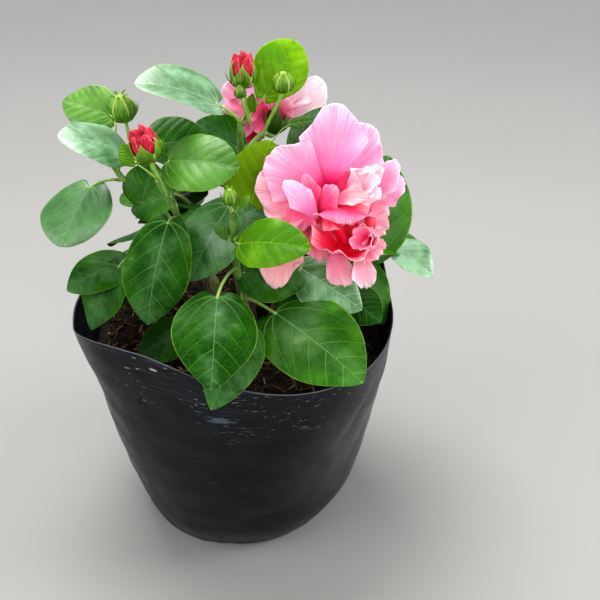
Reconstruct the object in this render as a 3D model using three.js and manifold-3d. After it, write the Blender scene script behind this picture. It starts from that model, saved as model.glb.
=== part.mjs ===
// A young double-flowered hibiscus shrub in its black film grow bag.
// Millimetres, +Z up. The origin is the middle of the bag's flat underside, and -Y is the side
// that the large open bloom faces. Every solid is closed, and keeps a small gap to its neighbours.

import * as THREE from 'three';
import * as BufferGeometryUtils from 'three/addons/utils/BufferGeometryUtils.js';
import Module from 'manifold-3d';

const wasm = await Module();
wasm.setup();

// Clearance between solids that touch on the real plant
const gap = 0.3;

// The bag: a film cone on a flat round foot, with its wall drawn in for most of its height
const bag = {
  steps: 32,
  wall: 2,
  footRadius: 78,
  // Height and radius of the wall between the foot's bend and the rim. The soil's edge meets the last.
  wallStations: [[6, 86], [16, 92], [30, 99.5], [60, 106], [105, 114], [143, 119.5]],
  // The round wall's radius where it would meet the rim
  topRadius: 123,
  // The rim's spread starts here: below it the bag is round
  spreadFrom: 70,
  // The left wall is pressed in: towards this angle and so far to each side of it, not at all at the
  // outer two heights and fully between the inner two
  press: { towards: 197, spread: 68, depth: 11.5, heights: [10, 90, 108, 188] },
};

// The soft rim: angle from +X in degrees, radius, height. The front left is pressed in and stands up,
// the front right bellies out, and a fold stands up at the right.
const rimStations = [
  [0, 122, 188], [9, 120, 196], [18, 125, 204], [30, 128, 196], [45, 125, 188], [90, 122, 186],
  [135, 122, 187], [180, 122, 187], [197, 121, 191], [209, 122, 202], [225, 117, 205],
  [245, 110, 204], [262, 113, 200], [277, 120, 194], [292, 125, 187], [312, 130, 184],
  [330, 129, 186], [346, 125, 187],
];

const soil = {
  top: 148,
  heave: 5,
  // The facets of wall and soil cross slightly, so the side keeps more than the usual gap
  sideClearance: 1,
  // Round the stems the soil lies level
  levelRadius: 44,
  // The rings of the top, as parts of the edge's radius: the inner one lies in the level middle
  rings: [0.75, 0.36],
};

// Each limb: the points that it bends through, and its radius at both ends. Stems start at the soil,
// and a bough starts on the limb named in from, at that part of its length.
const limbSides = 6;
const soilLine = soil.top + gap;
const limbs = {
  stem_top: { path: [[12, 14, soilLine], [9, 15, 215], [8, 18, 270], [10, 20, 322]], radii: [5.6, 3] },
  stem_front: { path: [[14, -4, soilLine], [10, -20, 195], [7, -35, 240], [7, -46, 284]], radii: [4.8, 2.6] },
  stem_left: {
    path: [[-2, 4, soilLine], [-24, 5, 212], [-50, 4, 262], [-74, 4, 287], [-80, 5, 296]],
    radii: [4.8, 2.4],
  },
  stem_middle: {
    path: [[2, -6, soilLine], [-16, -12, 220], [-33, -20, 268], [-44, -26, 300]],
    radii: [4.4, 2.4],
  },
  stem_right: { path: [[24, 6, soilLine], [44, 4, 208], [64, 0, 250], [76, -8, 270]], radii: [5, 3] },
  stem_back: { path: [[10, 27, soilLine], [4, 38, 210], [2, 50, 258], [0, 56, 276]], radii: [4.6, 2.6] },
  bough_left: { from: 'stem_left', at: 0.44, path: [[-50, -6, 234], [-68, -12, 236]], radii: [2.8, 2.2] },
  bough_right: { from: 'stem_right', at: 0.62, path: [[78, 6, 238], [98, 6, 240]], radii: [3, 2.2] },
  bough_back_right: { from: 'stem_right', at: 0.36, path: [[52, 24, 222], [56, 36, 240]], radii: [3, 2.2] },
  bough_back_left: { from: 'stem_back', at: 0.4, path: [[-16, 40, 226], [-34, 40, 246]], radii: [2.8, 2.2] },
  bough_bloom_back: { from: 'stem_top', at: 0.72, path: [[14, 36, 296], [24, 50, 304]], radii: [2.6, 2.2] },
};

// Which way a pad's upper face looks
const facing = {
  front: [0, -0.8, 0.6],
  sky: [0, -0.45, 0.9],
  left: [-0.3, -0.5, 0.8],
  right: [0.25, -0.5, 0.8],
  upright: [0.15, -1, 0.25],
  back: [0, 0.5, 0.85],
  backLeft: [-0.4, 0.35, 0.85],
  backRight: [0.45, 0.35, 0.85],
};

// The make of a pad: corners of its section, its stalk's half thickness, the stations along its blade,
// and how far its middle bulges, sways and its sizes vary, as parts of its thickness or width
const pad = {
  corners: 4,
  stalk: 2.2,
  stations: [0.02, 0.2, 0.48, 0.8, 1],
  broadest: 0.4,
  bulge: 1 / 3,
  bulgeVaries: 0.4,
  sway: 0.03,
  widthVaries: 0.05,
  thicknessVaries: 0.2,
};

// Each mass sits on a hub, a knot of young growth round its limb at a part of the limb's length.
// Its pads grow out of the hub: the foot and the tip of each blade, its width and the way it faces.
const foliageThickness = 9;
const hubRadius = 8;
const masses = {
  foliage_front_low: { on: 'stem_front', at: 0.74, pads: [[[-3, -72, 236], [-3, -130, 206], 62, 'front']] },
  foliage_front_right: {
    on: 'stem_front',
    at: 0.54,
    pads: [
      [[34, -48, 208], [95, -76, 170], 62, 'right'],
      [[12, -60, 218], [-4, -135, 196], 46, 'front'],
    ],
  },
  foliage_front_bright: {
    on: 'stem_front',
    at: 0.9,
    pads: [
      [[14, -56, 268], [59, -84, 278], 42, 'right'],
      [[16, -42, 284], [42, -50, 292], 36, 'front'],
    ],
  },
  foliage_upper: {
    on: 'stem_front',
    at: 0.99,
    pads: [
      [[17, -28, 276], [36, -6, 318], 44, 'upright'],
      [[6, -48, 292], [6, -50, 304], 20, 'upright'],
    ],
  },
  foliage_inner: { on: 'stem_front', at: 0.82, pads: [[[-2, -32, 270], [-24, -50, 234], 46, 'left']] },
  foliage_front_left: { on: 'stem_middle', at: 0.9, pads: [[[-38, -38, 274], [-51, -75, 214], 53, 'front']] },
  foliage_middle: {
    on: 'stem_middle',
    at: 0.99,
    pads: [
      [[-36, -22, 312], [14, -36, 313], 44, 'front'],
      [[-48, -2, 312], [-12, 22, 306], 44, 'sky'],
      [[-51, -30, 312], [-50, -30, 334], 24, 'upright'],
    ],
  },
  foliage_low_inner: { on: 'stem_middle', at: 0.24, pads: [[[-30, -28, 180], [-71, -38, 162], 34, 'sky']] },
  foliage_left_high: {
    on: 'stem_left',
    at: 0.99,
    pads: [
      [[-72, -2, 307], [-109, -15, 325], 44, 'sky'],
      [[-84, 24, 320], [-118, 34, 332], 38, 'front'],
      [[-77, 9, 320], [-68, 14, 348], 20, 'upright'],
    ],
  },
  foliage_left_outer: { on: 'stem_left', at: 0.86, pads: [[[-84, -4, 282], [-123, -40, 258], 60, 'left']] },
  foliage_left_inner: {
    on: 'stem_left',
    at: 0.68,
    pads: [
      [[-60, -6, 272], [-54, 6, 300], 34, 'upright'],
      [[-44, -10, 272], [-68, -6, 268], 28, 'sky'],
      [[-56, 16, 262], [-78, 44, 262], 40, 'backLeft'],
    ],
  },
  foliage_left_low: {
    on: 'bough_left',
    at: 0.98,
    pads: [
      [[-76, -16, 231], [-120, -34, 214], 42, 'left'],
      [[-80, -20, 226], [-100, -46, 188], 38, 'left'],
      [[-72, -4, 222], [-108, 18, 194], 46, 'left'],
    ],
  },
  foliage_top_left: {
    on: 'stem_top',
    at: 0.92,
    pads: [
      [[-8, 22, 336], [-59, 6, 357], 46, 'sky'],
      [[2, 27, 311], [-25, 40, 318], 32, 'front'],
    ],
  },
  foliage_crest: {
    on: 'stem_top',
    at: 0.995,
    pads: [
      [[24, 18, 342], [46, 30, 378], 38, 'upright'],
      [[12, 16, 346], [13, 15, 378], 24, 'upright'],
      [[30, 10, 340], [40, 2, 364], 18, 'upright'],
    ],
  },
  foliage_behind_bloom: {
    on: 'stem_top',
    at: 0.82,
    pads: [
      [[46, 20, 307], [72, 30, 330], 28, 'front'],
      [[32, 28, 290], [72, 52, 296], 48, 'back'],
    ],
  },
  foliage_under_bloom: {
    on: 'stem_right',
    at: 0.62,
    pads: [
      [[54, -24, 230], [96, -45, 207], 42, 'right'],
      [[42, -24, 224], [42, -48, 212], 34, 'front'],
      [[84, -18, 212], [110, -48, 199], 36, 'right'],
    ],
  },
  foliage_right_low: {
    on: 'bough_right',
    at: 0.56,
    pads: [
      [[92, 0, 220], [114, -14, 176], 38, 'right'],
      [[86, 22, 218], [108, 58, 190], 48, 'backRight'],
    ],
  },
  foliage_right: {
    on: 'bough_right',
    at: 0.98,
    pads: [
      [[108, 4, 236], [118, 28, 292], 54, 'upright'],
      [[122, 12, 231], [150, -6, 211], 36, 'right'],
      [[112, 24, 234], [138, 56, 216], 50, 'backRight'],
    ],
  },
  foliage_back_left: {
    on: 'bough_back_left',
    at: 0.98,
    pads: [
      [[-46, 48, 254], [-84, 82, 244], 52, 'backLeft'],
      [[-40, 56, 236], [-66, 104, 208], 54, 'backLeft'],
      [[-58, 34, 230], [-104, 62, 200], 50, 'backLeft'],
    ],
  },
  foliage_back_middle: {
    on: 'stem_back',
    at: 0.99,
    pads: [
      [[-8, 66, 276], [-32, 112, 264], 54, 'back'],
      [[14, 66, 274], [36, 118, 258], 54, 'back'],
      [[-14, 54, 280], [-52, 72, 284], 46, 'backLeft'],
    ],
  },
  foliage_back_right: {
    on: 'bough_back_right',
    at: 0.98,
    pads: [
      [[66, 44, 252], [108, 80, 246], 56, 'backRight'],
      [[60, 52, 232], [84, 108, 206], 56, 'backRight'],
    ],
  },
  foliage_back_low: {
    on: 'stem_back',
    at: 0.62,
    pads: [
      [[2, 60, 222], [0, 118, 196], 56, 'back'],
      [[20, 56, 226], [52, 106, 216], 50, 'back'],
      [[-14, 52, 214], [-40, 90, 178], 48, 'backLeft'],
    ],
  },
};

// Each bloom: the limb that carries it, its heart, the heart's radius, the thickness of its petals,
// and for each petal its tip, its width and the way it faces.
const bloomNeck = { at: 0.99, width: 14, thickness: 14 };
const petalFoot = 0.15;
const blooms = {
  bloom_front: {
    from: 'stem_right',
    heart: [73, -32, 288],
    heartRadius: 27,
    thickness: 17,
    petals: [
      [[82, -16, 352], 50, 'upright'],
      [[25, -34, 302], 52, 'upright'],
      [[122, -26, 300], 50, 'upright'],
      [[98, -58, 236], 42, 'front'],
      [[40, -58, 240], 40, 'front'],
      [[70, -76, 268], 44, 'sky'],
    ],
  },
  bloom_back: {
    from: 'bough_bloom_back',
    heart: [32, 70, 318],
    heartRadius: 17,
    thickness: 12,
    petals: [
      [[-10, 72, 304], 42, 'upright'],
      [[4, 80, 338], 38, 'upright'],
      [[72, 74, 342], 44, 'upright'],
      [[40, 106, 340], 40, 'back'],
      [[50, 96, 300], 38, 'back'],
    ],
  },
};

const lumpVaries = 0.08;

const finishes = {
  film: { color: '#15171c', roughness: 0.38 },
  soil: { color: '#3a2a20', roughness: 0.95 },
  bark: { color: '#6b5a3c', roughness: 0.75 },
  greenStem: { color: '#5f7f33', roughness: 0.6 },
  leaf: { color: '#2f7a1f', roughness: 0.35 },
  brightLeaf: { color: '#6fae1e', roughness: 0.35 },
  darkLeaf: { color: '#1f5a1c', roughness: 0.4 },
  petal: { color: '#ee7ba0', roughness: 0.6 },
};

const toVector = (point) => new THREE.Vector3(...point);

// Repeatable numbers from -1 to 1, so that the pads are uneven in the same way each time
function unevenness(seed) {
  let state = seed * 7919 + 13;
  return () => {
    state = (state * 16807) % 2147483647;
    return (state / 2147483647) * 2 - 1;
  };
}

// A closed solid from rings of points, each end closed by a fan round the ring's middle
function loft(rings) {
  const count = rings[0].length;
  const middleOf = (ring) => ring.reduce((sum, p) => sum.add(p), new THREE.Vector3()).divideScalar(count);
  const positions = [];
  const indices = [];
  for (const ring of rings) for (const p of ring) positions.push(p.x, p.y, p.z);
  for (let row = 0; row < rings.length - 1; row += 1) {
    for (let k = 0; k < count; k += 1) {
      const a = row * count + k;
      const b = row * count + ((k + 1) % count);
      indices.push(a, b, b + count, a, b + count, a + count);
    }
  }
  const first = positions.length / 3;
  const lastRow = (rings.length - 1) * count;
  for (const p of [middleOf(rings[0]), middleOf(rings[rings.length - 1])]) positions.push(p.x, p.y, p.z);
  for (let k = 0; k < count; k += 1) {
    const next = (k + 1) % count;
    indices.push(first, next, k, first + 1, lastRow + k, lastRow + next);
  }
  const geometry = new THREE.BufferGeometry();
  geometry.setAttribute('position', new THREE.Float32BufferAttribute(positions, 3));
  geometry.setIndex(indices);
  return geometry;
}

function toSolid(geometry) {
  const bare = geometry.clone();
  bare.deleteAttribute('normal');
  bare.deleteAttribute('uv');
  const merged = BufferGeometryUtils.mergeVertices(bare, 1e-4);
  const mesh = new wasm.Mesh({
    numProp: 3,
    vertProperties: new Float32Array(merged.attributes.position.array),
    triVerts: new Uint32Array(merged.index.array),
  });
  return new wasm.Manifold(mesh);
}

function toGeometry(solid) {
  const mesh = solid.getMesh();
  const geometry = new THREE.BufferGeometry();
  geometry.setAttribute('position', new THREE.Float32BufferAttribute(mesh.vertProperties, 3));
  geometry.setIndex(new THREE.Uint32BufferAttribute(mesh.triVerts, 1));
  return geometry;
}

// The rim's radius and height at an angle, easing from station to station round the circle
function rimAt(degrees) {
  const turn = ((degrees % 360) + 360) % 360;
  const count = rimStations.length;
  const after = rimStations.findIndex((station) => station[0] > turn);
  const end = after < 0 ? 0 : after;
  const start = (end + count - 1) % count;
  const span = (rimStations[end][0] - rimStations[start][0] + 360) % 360;
  const part = ((turn - rimStations[start][0] + 360) % 360) / span;
  const ease = THREE.MathUtils.smoothstep(part, 0, 1);
  return {
    radius: THREE.MathUtils.lerp(rimStations[start][1], rimStations[end][1], ease),
    height: THREE.MathUtils.lerp(rimStations[start][2], rimStations[end][2], ease),
  };
}

// How far the wall is pressed in at an angle and a height
function pressedIn(degrees, height) {
  const { towards, spread, depth, heights } = bag.press;
  const off = Math.min(Math.abs(((degrees - towards + 540) % 360) - 180), spread);
  const rise = THREE.MathUtils.smoothstep(height, heights[0], heights[1]);
  const fall = THREE.MathUtils.smoothstep(height, heights[2], heights[3]);
  return depth * Math.cos((off / spread) * (Math.PI / 2)) ** 2 * rise * (1 - fall);
}

// The bag's outer radius at an angle and a height
function wallRadius(degrees, height) {
  const rim = rimAt(degrees);
  const roundStations = [[0, bag.footRadius], ...bag.wallStations, [rim.height, bag.topRadius]];
  const end = Math.max(1, roundStations.findIndex((station) => station[0] >= height - 1e-9));
  const [lowHeight, lowRadius] = roundStations[end - 1];
  const [highHeight, highRadius] = roundStations[end];
  const radius = THREE.MathUtils.mapLinear(height, lowHeight, highHeight, lowRadius, highRadius);
  const spread = THREE.MathUtils.smoothstep(height, bag.spreadFrom, rim.height);
  return radius + spread * (rim.radius - bag.topRadius) - pressedIn(degrees, height);
}

function polar(degrees, radius, height) {
  const turn = THREE.MathUtils.degToRad(degrees);
  return new THREE.Vector3(radius * Math.cos(turn), radius * Math.sin(turn), height);
}

// One ring round the bag's axis, from a function that gives radius and height at an angle
function ringRound(place) {
  return Array.from({ length: bag.steps }, (_, k) => {
    const degrees = (k * 360) / bag.steps;
    return polar(degrees, ...place(degrees));
  });
}

function makeBag(grow) {
  const levels = bag.wallStations.map((station) => station[0]);
  const outside = [
    ringRound(() => [bag.footRadius / 2, 0]),
    ringRound(() => [bag.footRadius, 0]),
    ...levels.map((height) => ringRound((turn) => [wallRadius(turn, height) + grow, height])),
    ringRound((turn) => [rimAt(turn).radius + grow, rimAt(turn).height + grow]),
  ];
  const thick = bag.wall + grow;
  const insideLevels = levels.slice(1).reverse();
  const inside = [
    ringRound((turn) => [rimAt(turn).radius - thick, rimAt(turn).height + grow]),
    ...insideLevels.map((height) => ringRound((turn) => [wallRadius(turn, height) - thick, height])),
    ringRound(() => [bag.footRadius, bag.wall]),
    ringRound(() => [bag.footRadius / 2, bag.wall]),
  ];
  return loft([...outside, ...inside]);
}

function makeSoil(grow) {
  const side = bag.wall + soil.sideClearance;
  const floor = bag.wall + gap;
  const uneven = unevenness(5);
  const levels = bag.wallStations.map((station) => station[0]).slice(1);
  const heaved = (radius) => {
    const fade = THREE.MathUtils.smoothstep(radius, soil.levelRadius, soil.levelRadius + 25);
    return soil.top + grow + fade * soil.heave * uneven();
  };
  const edge = (turn) => wallRadius(turn, levels.at(-1)) - side;
  return loft([
    ringRound(() => [bag.footRadius / 2, floor]),
    ringRound(() => [bag.footRadius, floor]),
    ...levels.map((height) => ringRound((turn) => [wallRadius(turn, height) - side, height])),
    ...soil.rings.map((part) => ringRound((turn) => [edge(turn) * part, heaved(edge(turn) * part)])),
  ]);
}

// A limb runs as a smooth curve through its points and tapers evenly. A stem's foot is cut level.
function limbCurve(limb) {
  const points = limb.path.map(toVector);
  if (limb.from) points.unshift(limbCurve(limbs[limb.from]).getPointAt(limb.at));
  return new THREE.CatmullRomCurve3(points);
}

function makeLimb(limb, grow) {
  const steps = 2 * limb.path.length + 1;
  const curve = limbCurve(limb);
  const across = new THREE.Vector3(0, 1, 0);
  const rings = Array.from({ length: steps + 1 }, (_, row) => {
    const part = row / steps;
    const radius = THREE.MathUtils.lerp(...limb.radii, part) + grow;
    const levelCut = row === 0 && !limb.from;
    const along = levelCut ? new THREE.Vector3(0, 0, 1) : curve.getTangentAt(part);
    const first = new THREE.Vector3().crossVectors(across, along).normalize();
    const second = new THREE.Vector3().crossVectors(along, first);
    const middle = curve.getPointAt(part);
    if (row === 0) middle.addScaledVector(along, -grow);
    if (row === steps) middle.addScaledVector(along, grow);
    return Array.from({ length: limbSides }, (__, k) => {
      const turn = (k / limbSides) * 2 * Math.PI;
      return middle.clone().addScaledVector(first, radius * Math.cos(turn))
        .addScaledVector(second, radius * Math.sin(turn));
    });
  });
  return toSolid(loft(rings));
}

// Half the width of a blade at a part of its length: broad and round below, drawn to a blunt tip
function bladeHalf(part) {
  const { broadest } = pad;
  if (part < broadest) return Math.sqrt(Math.max(0, 1 - (1 - part / broadest) ** 2.2));
  return Math.cos((Math.PI / 2) * ((part - broadest) / (1 - broadest))) ** 0.85;
}

// A thin uneven pad: a stalk from the start to the blade's foot, then the blade to its tip
function makePad(start, foot, tip, width, thickness, face, seed, grow) {
  const uneven = unevenness(seed);
  const along = tip.clone().sub(foot).normalize();
  const across = new THREE.Vector3().crossVectors(along, toVector(facing[face])).normalize();
  const out = new THREE.Vector3().crossVectors(across, along);
  const rings = [];
  const addRing = (middle, halfWidth, halfThickness) => rings.push(
    Array.from({ length: pad.corners }, (_, k) => {
      const turn = (-k / pad.corners) * 2 * Math.PI;
      return middle.clone().addScaledVector(across, (halfWidth + grow) * Math.cos(turn))
        .addScaledVector(out, (halfThickness + grow) * Math.sin(turn));
    }),
  );
  addRing(start, pad.stalk, pad.stalk);
  for (const part of pad.stations) {
    const half = bladeHalf(part);
    const middle = foot.clone().lerp(tip, part);
    const bulge = Math.sin(Math.PI * part) + pad.bulgeVaries * uneven();
    middle.addScaledVector(out, pad.bulge * thickness * bulge);
    middle.addScaledVector(across, pad.sway * width * uneven());
    const halfWidth = (width / 2) * half * (1 + pad.widthVaries * uneven());
    const halfThickness = (thickness / 2) * Math.sqrt(half) * (1 + pad.thicknessVaries * uneven());
    addRing(middle, Math.max(pad.stalk, halfWidth), Math.max(pad.stalk, halfThickness));
  }
  return toSolid(loft(rings));
}

function joined(solids) {
  return solids.reduce((whole, solid) => whole.add(solid));
}

// An uneven round lump
function makeLump(middle, radius, detail, uneven, grow) {
  const bare = new THREE.IcosahedronGeometry(1, detail).deleteAttribute('normal').deleteAttribute('uv');
  const ball = BufferGeometryUtils.mergeVertices(bare, 1e-4);
  const places = ball.attributes.position;
  for (let k = 0; k < places.count; k += 1) {
    const reach = radius * (1 + lumpVaries * uneven()) + grow;
    const place = new THREE.Vector3().fromBufferAttribute(places, k).multiplyScalar(reach).add(middle);
    places.setXYZ(k, place.x, place.y, place.z);
  }
  return toSolid(ball);
}

function makeMass(mass, seed, grow) {
  const hub = limbCurve(limbs[mass.on]).getPointAt(mass.at);
  const pads = mass.pads.map(([foot, tip, width, face], k) => makePad(
    hub, toVector(foot), toVector(tip), width, foliageThickness, face, seed + k, grow,
  ));
  return joined([makeLump(hub, hubRadius, 0, unevenness(seed), grow), ...pads]);
}

// A bloom is an uneven round heart with broad petals growing out of it
function makeBloom(bloom, seed, grow) {
  const heart = toVector(bloom.heart);
  const ball = makeLump(heart, bloom.heartRadius, 1, unevenness(seed), grow);
  const neck = limbCurve(limbs[bloom.from]).getPointAt(bloomNeck.at);
  const stalk = makePad(
    neck, neck.clone().lerp(heart, 0.5), heart,
    bloomNeck.width, bloomNeck.thickness, 'upright', seed, grow,
  );
  const petals = bloom.petals.map(([tip, width, face], k) => makePad(
    heart, heart.clone().lerp(toVector(tip), petalFoot), toVector(tip),
    width, bloom.thickness, face, seed + k, grow,
  ));
  return joined([ball, stalk, ...petals]);
}

// Solids are cut in turn: each one gives way to those before it, less the gap between them, and keeps
// its largest piece
const grownSolids = [];
const group = new THREE.Group();

function addMesh(name, geometry, finish) {
  geometry.computeVertexNormals();
  const mesh = new THREE.Mesh(geometry, new THREE.MeshStandardMaterial({ ...finish, metalness: 0 }));
  mesh.name = name;
  group.add(mesh);
}

function addCutMesh(name, make, finish) {
  const cut = grownSolids.reduce((solid, grown) => solid.subtract(grown), make(0));
  const [largest] = cut.decompose().sort((a, b) => b.volume() - a.volume());
  grownSolids.push(make(gap));
  addMesh(name, toGeometry(largest), finish);
}

for (const [name, limb] of Object.entries(limbs)) {
  addCutMesh(name, (grow) => makeLimb(limb, grow), limb.from ? finishes.greenStem : finishes.bark);
}

// The free wall round the mouth is a ring of its own, just clear of the wall below it
const wholeBag = toSolid(makeBag(0));
const ringFoot = bag.wallStations.at(-1)[0];
addMesh('bag', toGeometry(wholeBag.trimByPlane([0, 0, -1], -ringFoot)), finishes.film);
addMesh('bag_rim', toGeometry(wholeBag.trimByPlane([0, 0, 1], ringFoot + gap)), finishes.film);
addMesh('soil', makeSoil(0), finishes.soil);
grownSolids.push(toSolid(makeBag(gap)), toSolid(makeSoil(gap)));

const seedStep = 10;
Object.entries(blooms).forEach(([name, bloom], k) => {
  addCutMesh(name, (grow) => makeBloom(bloom, 11 + k * seedStep, grow), finishes.petal);
});

function leafFinish(name) {
  if (name === 'foliage_front_bright' || name === 'foliage_crest') return finishes.brightLeaf;
  if (name.includes('back') || name.includes('inner')) return finishes.darkLeaf;
  return finishes.leaf;
}

Object.entries(masses).forEach(([name, mass], k) => {
  addCutMesh(name, (grow) => makeMass(mass, 31 + k * seedStep, grow), leafFinish(name));
});

export default group;
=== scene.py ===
import math

import bpy
import numpy as np
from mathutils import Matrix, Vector


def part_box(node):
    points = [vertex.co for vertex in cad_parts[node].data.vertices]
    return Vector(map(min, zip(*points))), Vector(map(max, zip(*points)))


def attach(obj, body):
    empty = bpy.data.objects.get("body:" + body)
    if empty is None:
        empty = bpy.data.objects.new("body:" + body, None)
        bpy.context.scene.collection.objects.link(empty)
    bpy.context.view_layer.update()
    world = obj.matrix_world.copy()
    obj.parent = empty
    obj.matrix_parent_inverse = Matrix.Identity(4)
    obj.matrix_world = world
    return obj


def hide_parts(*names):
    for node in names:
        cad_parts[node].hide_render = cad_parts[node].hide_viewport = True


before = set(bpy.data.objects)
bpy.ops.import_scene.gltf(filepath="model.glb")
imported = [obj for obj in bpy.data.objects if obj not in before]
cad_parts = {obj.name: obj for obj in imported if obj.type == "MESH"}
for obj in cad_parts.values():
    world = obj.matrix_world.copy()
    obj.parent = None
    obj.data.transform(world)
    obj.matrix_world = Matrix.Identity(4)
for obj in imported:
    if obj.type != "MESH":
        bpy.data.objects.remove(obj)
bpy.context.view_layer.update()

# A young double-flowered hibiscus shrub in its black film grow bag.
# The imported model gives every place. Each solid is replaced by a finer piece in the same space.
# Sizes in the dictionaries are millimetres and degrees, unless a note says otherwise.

mm = 0.001

# The camera stands where the photo was taken from, and looks along +Y and down
view = {"place": (52, -509, 517), "pitch": 33, "lens": 46.8, "sensor": 36, "photo": 600}


# Vectors

def unit(v):
    # Vectors of length 1
    return v / np.maximum(np.linalg.norm(v, axis=-1, keepdims=True), 1e-12)


def turnSteps(count):
    # Even steps once round, in radians
    return np.arange(count) * 2 * math.pi / count


def smooth(x, low, high):
    # 0 below low, 1 above high, with an even ease between
    t = np.clip((np.asarray(x, float) - low) / (high - low), 0, 1)
    return t * t * (3 - 2 * t)


def fromPhoto(x, y, depth):
    # The point that the photo shows at pixel x, y of its 600 by 600, on the upright plane Y = depth
    pitch = math.radians(view["pitch"])
    focal = view["lens"] / view["sensor"] * view["photo"]
    right, up = (x - view["photo"] / 2) / focal, (view["photo"] / 2 - y) / focal
    ray = np.array([right, math.cos(pitch) + up * math.sin(pitch), up * math.cos(pitch) - math.sin(pitch)])
    place = np.array(view["place"], float)
    return place + ray * (depth - place[1]) / ray[1]


def ripples(points, wavelength, seed, count=14):
    # Smooth unevenness from about -1 to 1: a sum of sine waves that run every way, all of one wavelength
    random = np.random.default_rng(seed)
    ways = unit(random.normal(size=(count, 3))) * (2 * math.pi / wavelength)
    phases = random.uniform(0, 2 * math.pi, count)
    return np.sin(np.asarray(points) @ ways.T + phases).sum(-1) / math.sqrt(count)


def smoothCurve(points, count):
    # A curve through the points, eased by the square roots of their spacings, at count even steps of length
    p = np.asarray(points, float)
    p = np.vstack([2 * p[0] - p[1], p, 2 * p[-1] - p[-2]])
    steps = np.sqrt(np.linalg.norm(np.diff(p, axis=0), axis=1))[:, None]
    t = np.linspace(0, 1, 40)[:, None]
    runs = []
    for a, b, c, d, da, db, dc in zip(p, p[1:], p[2:], p[3:], steps, steps[1:], steps[2:]):
        start = ((b - a) / da - (c - a) / (da + db) + (c - b) / db) * db
        end = ((c - b) / db - (d - b) / (db + dc) + (d - c) / dc) * db
        square, cube = 3 * (c - b) - 2 * start - end, 2 * (b - c) + start + end
        runs.append(b + start * t + square * t**2 + cube * t**3)
    dense = np.vstack(runs)
    length = np.concatenate([[0], np.cumsum(np.linalg.norm(np.diff(dense, axis=0), axis=1))])
    at = np.linspace(0, length[-1], count)
    return np.stack([np.interp(at, length, dense[:, k]) for k in range(3)], -1)


# Meshes

def newPiece(name, shapes, materials, nodes=()):
    # One mesh from shapes, each a dictionary: points, faces (a list of index arrays), marks (values that
    # the materials read, one row for each point) and material (the index of the shape's material)
    points = np.concatenate([s["points"] for s in shapes]) * mm
    firsts = np.cumsum([0] + [len(s["points"]) for s in shapes[:-1]])
    groups, owners = [], []
    for shape, first in zip(shapes, firsts):
        for faces in shape["faces"]:
            groups.append(faces + first)
            owners.append(np.broadcast_to(shape.get("material", 0), len(faces)))
    sizes = np.concatenate([np.full(len(g), g.shape[1]) for g in groups])
    mesh = bpy.data.meshes.new(name)
    mesh.vertices.add(len(points))
    mesh.vertices.foreach_set("co", points.ravel())
    mesh.loops.add(int(sizes.sum()))
    mesh.loops.foreach_set("vertex_index", np.concatenate([g.ravel() for g in groups]))
    mesh.polygons.add(len(sizes))
    mesh.polygons.foreach_set("loop_start", np.cumsum(sizes) - sizes)
    for material in materials:
        mesh.materials.append(material)
    mesh.polygons.foreach_set("material_index", np.concatenate(owners))
    mesh.polygons.foreach_set("use_smooth", np.ones(len(sizes), bool))
    for key in shapes[0]["marks"]:
        values = np.concatenate([s["marks"][key] for s in shapes])
        kind = "FLOAT" if values.ndim == 1 else "FLOAT_VECTOR"
        field = "value" if values.ndim == 1 else "vector"
        mesh.attributes.new(key, kind, "POINT").data.foreach_set(field, values.astype(float).ravel())
    mesh.update(calc_edges=True)
    mesh.validate()
    piece = bpy.data.objects.new(name, mesh)
    bpy.context.scene.collection.objects.link(piece)
    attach(piece, "root")
    if nodes:
        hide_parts(*nodes)
    return piece


def ringFaces(rows, columns):
    # Quads between closed rings of points, and a fan of triangles to a pole at each end
    row, column = np.meshgrid(np.arange(rows - 1), np.arange(columns), indexing="ij")
    a, b = row * columns + column, row * columns + (column + 1) % columns
    quads = np.stack([a, b, b + columns, a + columns], -1).reshape(-1, 4)
    k = np.arange(columns)
    after, last, pole = (k + 1) % columns, (rows - 1) * columns, rows * columns
    foot = np.stack([np.full(columns, pole), after, k], -1)
    end = np.stack([np.full(columns, pole + 1), last + k, last + after], -1)
    return [quads, np.vstack([foot, end])]


def ringShape(rings, marks, material=0):
    # A closed skin round rings of points, rows by columns by 3, with a pole in the middle of each end ring
    rows, columns = rings.shape[:2]
    points = np.vstack([rings.reshape(-1, 3), rings[0].mean(0), rings[-1].mean(0)])
    ends = {name: np.concatenate([m.reshape(rows * columns, *m.shape[2:]), [m[0].mean(0)], [m[-1].mean(0)]])
            for name, m in marks.items()}
    return {"points": points, "faces": ringFaces(rows, columns), "marks": ends, "material": material}


def wallShape(outer, inner, marks, material=0):
    # A thin closed wall: the rings of its outside, then those of its inside in turn backwards
    rings = np.concatenate([outer, inner[::-1]])
    both = {name: np.concatenate([m, m[::-1]]) for name, m in marks.items()}
    return ringShape(rings, both, material)


def shellFaces(rows, columns):
    # The skin of a thin blade: rings that go across its upper side and back across its underside
    around = 2 * columns - 2
    row, k = np.meshgrid(np.arange(rows - 1), np.arange(around), indexing="ij")
    a, b = row * around + k, row * around + (k + 1) % around
    quads = [np.stack([a, b, b + around, a + around], -1).reshape(-1, 4)]
    upper = np.arange(columns)
    under = (around - upper) % around
    under[-1] = columns - 1
    corners = []
    for first, flip in ((0, False), ((rows - 1) * around, True)):
        strip = np.stack([upper[:-1], under[:-1], under[1:], upper[1:]], -1) + first
        strip = strip[:, ::-1] if flip else strip
        quads.append(strip[1:-1])
        for quad in (strip[0], strip[-1]):
            corners.append([x for k, x in enumerate(quad) if x not in quad[:k]])
    return [np.vstack(quads), np.array(corners)]


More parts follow.
